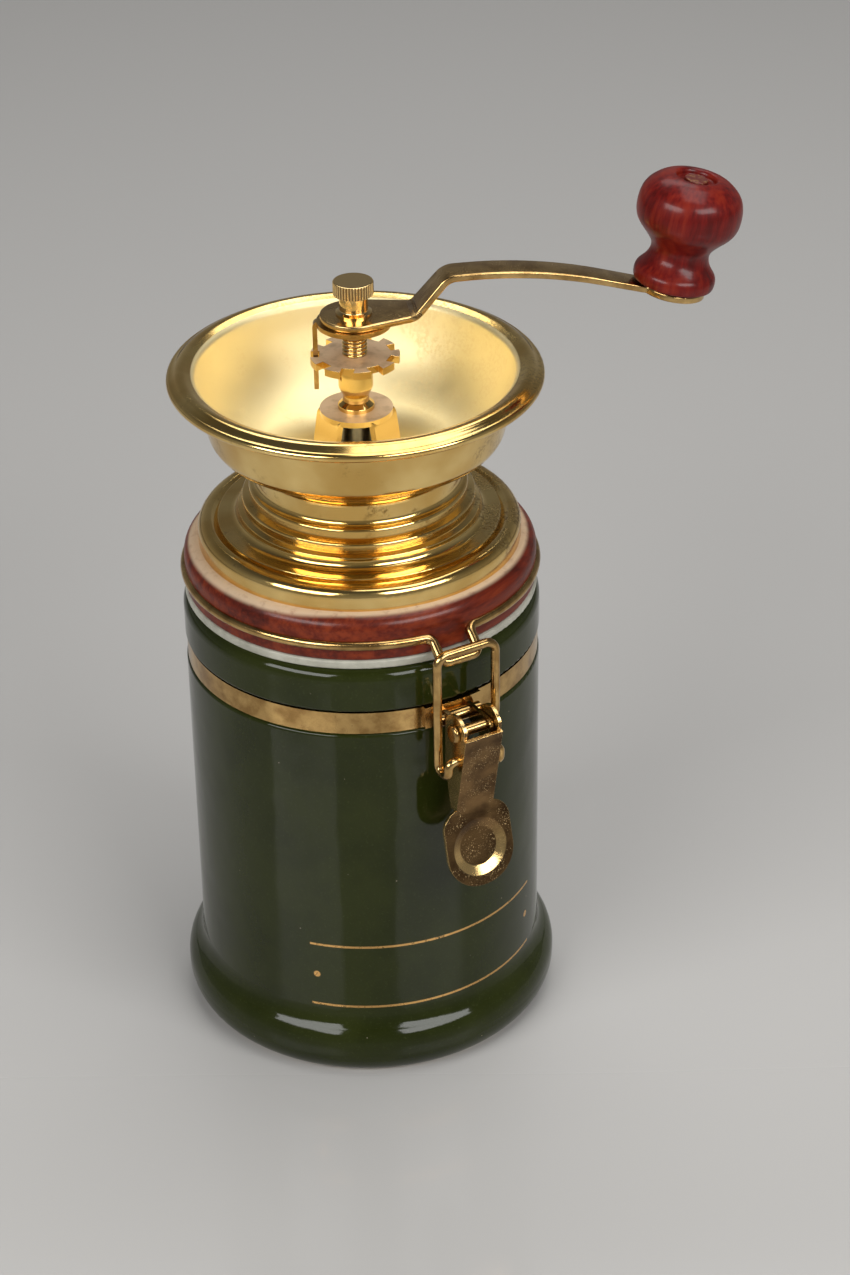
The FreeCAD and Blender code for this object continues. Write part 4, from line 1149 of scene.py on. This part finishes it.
@dataclass
class Clamp:
    """Lever and link of the bail clamp."""

    edge: float = 0.28
    wire_extra: float = 0.12

    def dress(self, finishes: Finishes) -> None:
        """Finish the clamp's pieces."""
        NodeCopy("clamp_lever", "lever", "plated_steel", finishes.lever).softened(self.edge)
        NodeCopy("clamp_link", "link", "plated_steel", finishes.plated).fuller(self.wire_extra)


@dataclass(frozen=True)
class SoftBox:
    """Rectangular lamp that faces the object; angles in degrees, lengths in metres, power in watts."""

    name: str
    azimuth: float
    elevation: float
    distance: float
    size: Tuple[float, float]
    power: float

    def build(self, target: Vector) -> None:
        """Hang the lamp at its bearing from the front and its angle above the floor, about a target."""
        light = bpy.data.lights.new(self.name, "AREA")
        light.shape = "RECTANGLE"
        light.size, light.size_y = self.size
        light.energy = self.power
        turn, lift = math.radians(self.azimuth), math.radians(self.elevation)
        away = Vector((math.sin(turn) * math.cos(lift), -math.cos(turn) * math.cos(lift), math.sin(lift)))
        lamp = linked(self.name, light)
        lamp.location = target + away * self.distance
        lamp.rotation_euler = away.to_track_quat("Z", "Y").to_euler()


@dataclass
class Studio:
    """Pale floor, glossy in front and matte behind, soft boxes, graded room light and the camera."""

    floor_colour: Colour = srgb(180, 178, 175)
    floor_reach: float = 30.0
    front_roughness: float = 0.07
    matte_more: float = 0.55
    matte_heading: Tuple[float, float] = (0.5, 0.866)
    matte_span: Tuple[float, float] = (-110.0, 50.0)
    eye: Tuple[float, float, float] = (-0.32903, -0.60307, 0.51977)
    forward: Tuple[float, float, float] = (0.42883, 0.74276, -0.51423)
    roll: float = -0.894
    lens: float = 84.706
    sensor: float = 36.0
    target: Tuple[float, float, float] = (0.0, 0.0, 0.1)
    horizon: float = 0.26
    zenith: float = 0.07
    zenith_height: float = 0.75
    soft_boxes: Tuple[SoftBox, ...] = (
        SoftBox("soft_box_left", -70.0, 33.0, 1.3, (0.9, 0.4), 10.0),
        SoftBox("soft_box_right", 11.0, 33.0, 1.3, (0.9, 0.4), 10.0),
        SoftBox("soft_box_top", 60.0, 76.0, 1.6, (1.2, 0.9), 10.0),
        SoftBox("soft_box_back", 150.0, 55.0, 1.4, (0.9, 0.5), 4.0))

    def build_floor(self) -> None:
        """Level square whose top is the ground that the jar stands on."""
        reach = self.floor_reach
        mesh = bpy.data.meshes.new("floor")
        corners = [(-reach, -reach, 0.0), (reach, -reach, 0.0), (reach, reach, 0.0), (-reach, reach, 0.0)]
        mesh.from_pydata(corners, [], [(0, 1, 2, 3)])
        floor = linked("floor", mesh)
        graph = Graph("floor_finish")
        cloud = graph.noise(0.004, 3.0)
        behind = (graph.x * self.matte_heading[0] + graph.y * self.matte_heading[1]).rise(*self.matte_span)
        rough = self.front_roughness + cloud * 0.05 + behind * self.matte_more
        mesh.materials.append(graph.surface(self.floor_colour, rough, more={"IOR": 1.45}))

    def build_world(self) -> None:
        """Room light that fades from the horizon to the zenith with the height of the direction."""
        world = bpy.data.worlds.new("room")
        world.use_nodes = True
        bpy.context.scene.world = world
        tree = NodeTree(world.node_tree)
        direction = tree.node("ShaderNodeTexCoord", {}, {}, "Generated")
        stops = ((0.0, (self.horizon,) * 3), (self.zenith_height, (self.zenith,) * 3))
        colour = tree.ramp(tree.parts(direction)[2], stops)
        background = tree.node("ShaderNodeBackground", {}, {"Color": colour})
        tree.node("ShaderNodeOutputWorld", {}, {"Surface": background})

    def build_camera(self) -> None:
        """Camera at the photograph's viewing angle."""
        data = bpy.data.cameras.new("camera")
        data.lens = self.lens
        data.sensor_width = self.sensor
        data.clip_start = 0.01
        camera = linked("camera", data)
        ahead = Vector(self.forward).normalized()
        right = ahead.cross(Vector((0.0, 0.0, 1.0))).normalized()
        up = right.cross(ahead)
        turn = math.radians(self.roll)
        rolled = right * math.cos(turn) + up * math.sin(turn)
        upper = up * math.cos(turn) - right * math.sin(turn)
        axes = Matrix((rolled, upper, -ahead)).transposed().to_4x4()
        camera.matrix_world = Matrix.Translation(Vector(self.eye)) @ axes
        bpy.context.scene.camera = camera

    def build(self) -> None:
        """Set up the whole studio."""
        bpy.context.scene.view_settings.view_transform = "Standard"
        self.build_floor()
        for box in self.soft_boxes:
            box.build(Vector(self.target))
        self.build_world()
        self.build_camera()


def main() -> None:
    """Dress the frame, add the new pieces and set up the studio."""
    logging.basicConfig(level=logging.INFO, format="%(message)s")
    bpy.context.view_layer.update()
    foot, axis = knob_line()
    nut_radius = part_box("thumb_nut")[1].x / MILLIMETRE
    finishes = Finishes(foot, axis, heights("wooden_lid")[1], nut_radius, heights("thumb_nut")[1])
    for assembly in (JarBody(), LidAssembly(), GrindingWorks(), Crank(), Clamp()):
        assembly.dress(finishes)
    Studio().build()


if __name__ == "__main__":
    main()
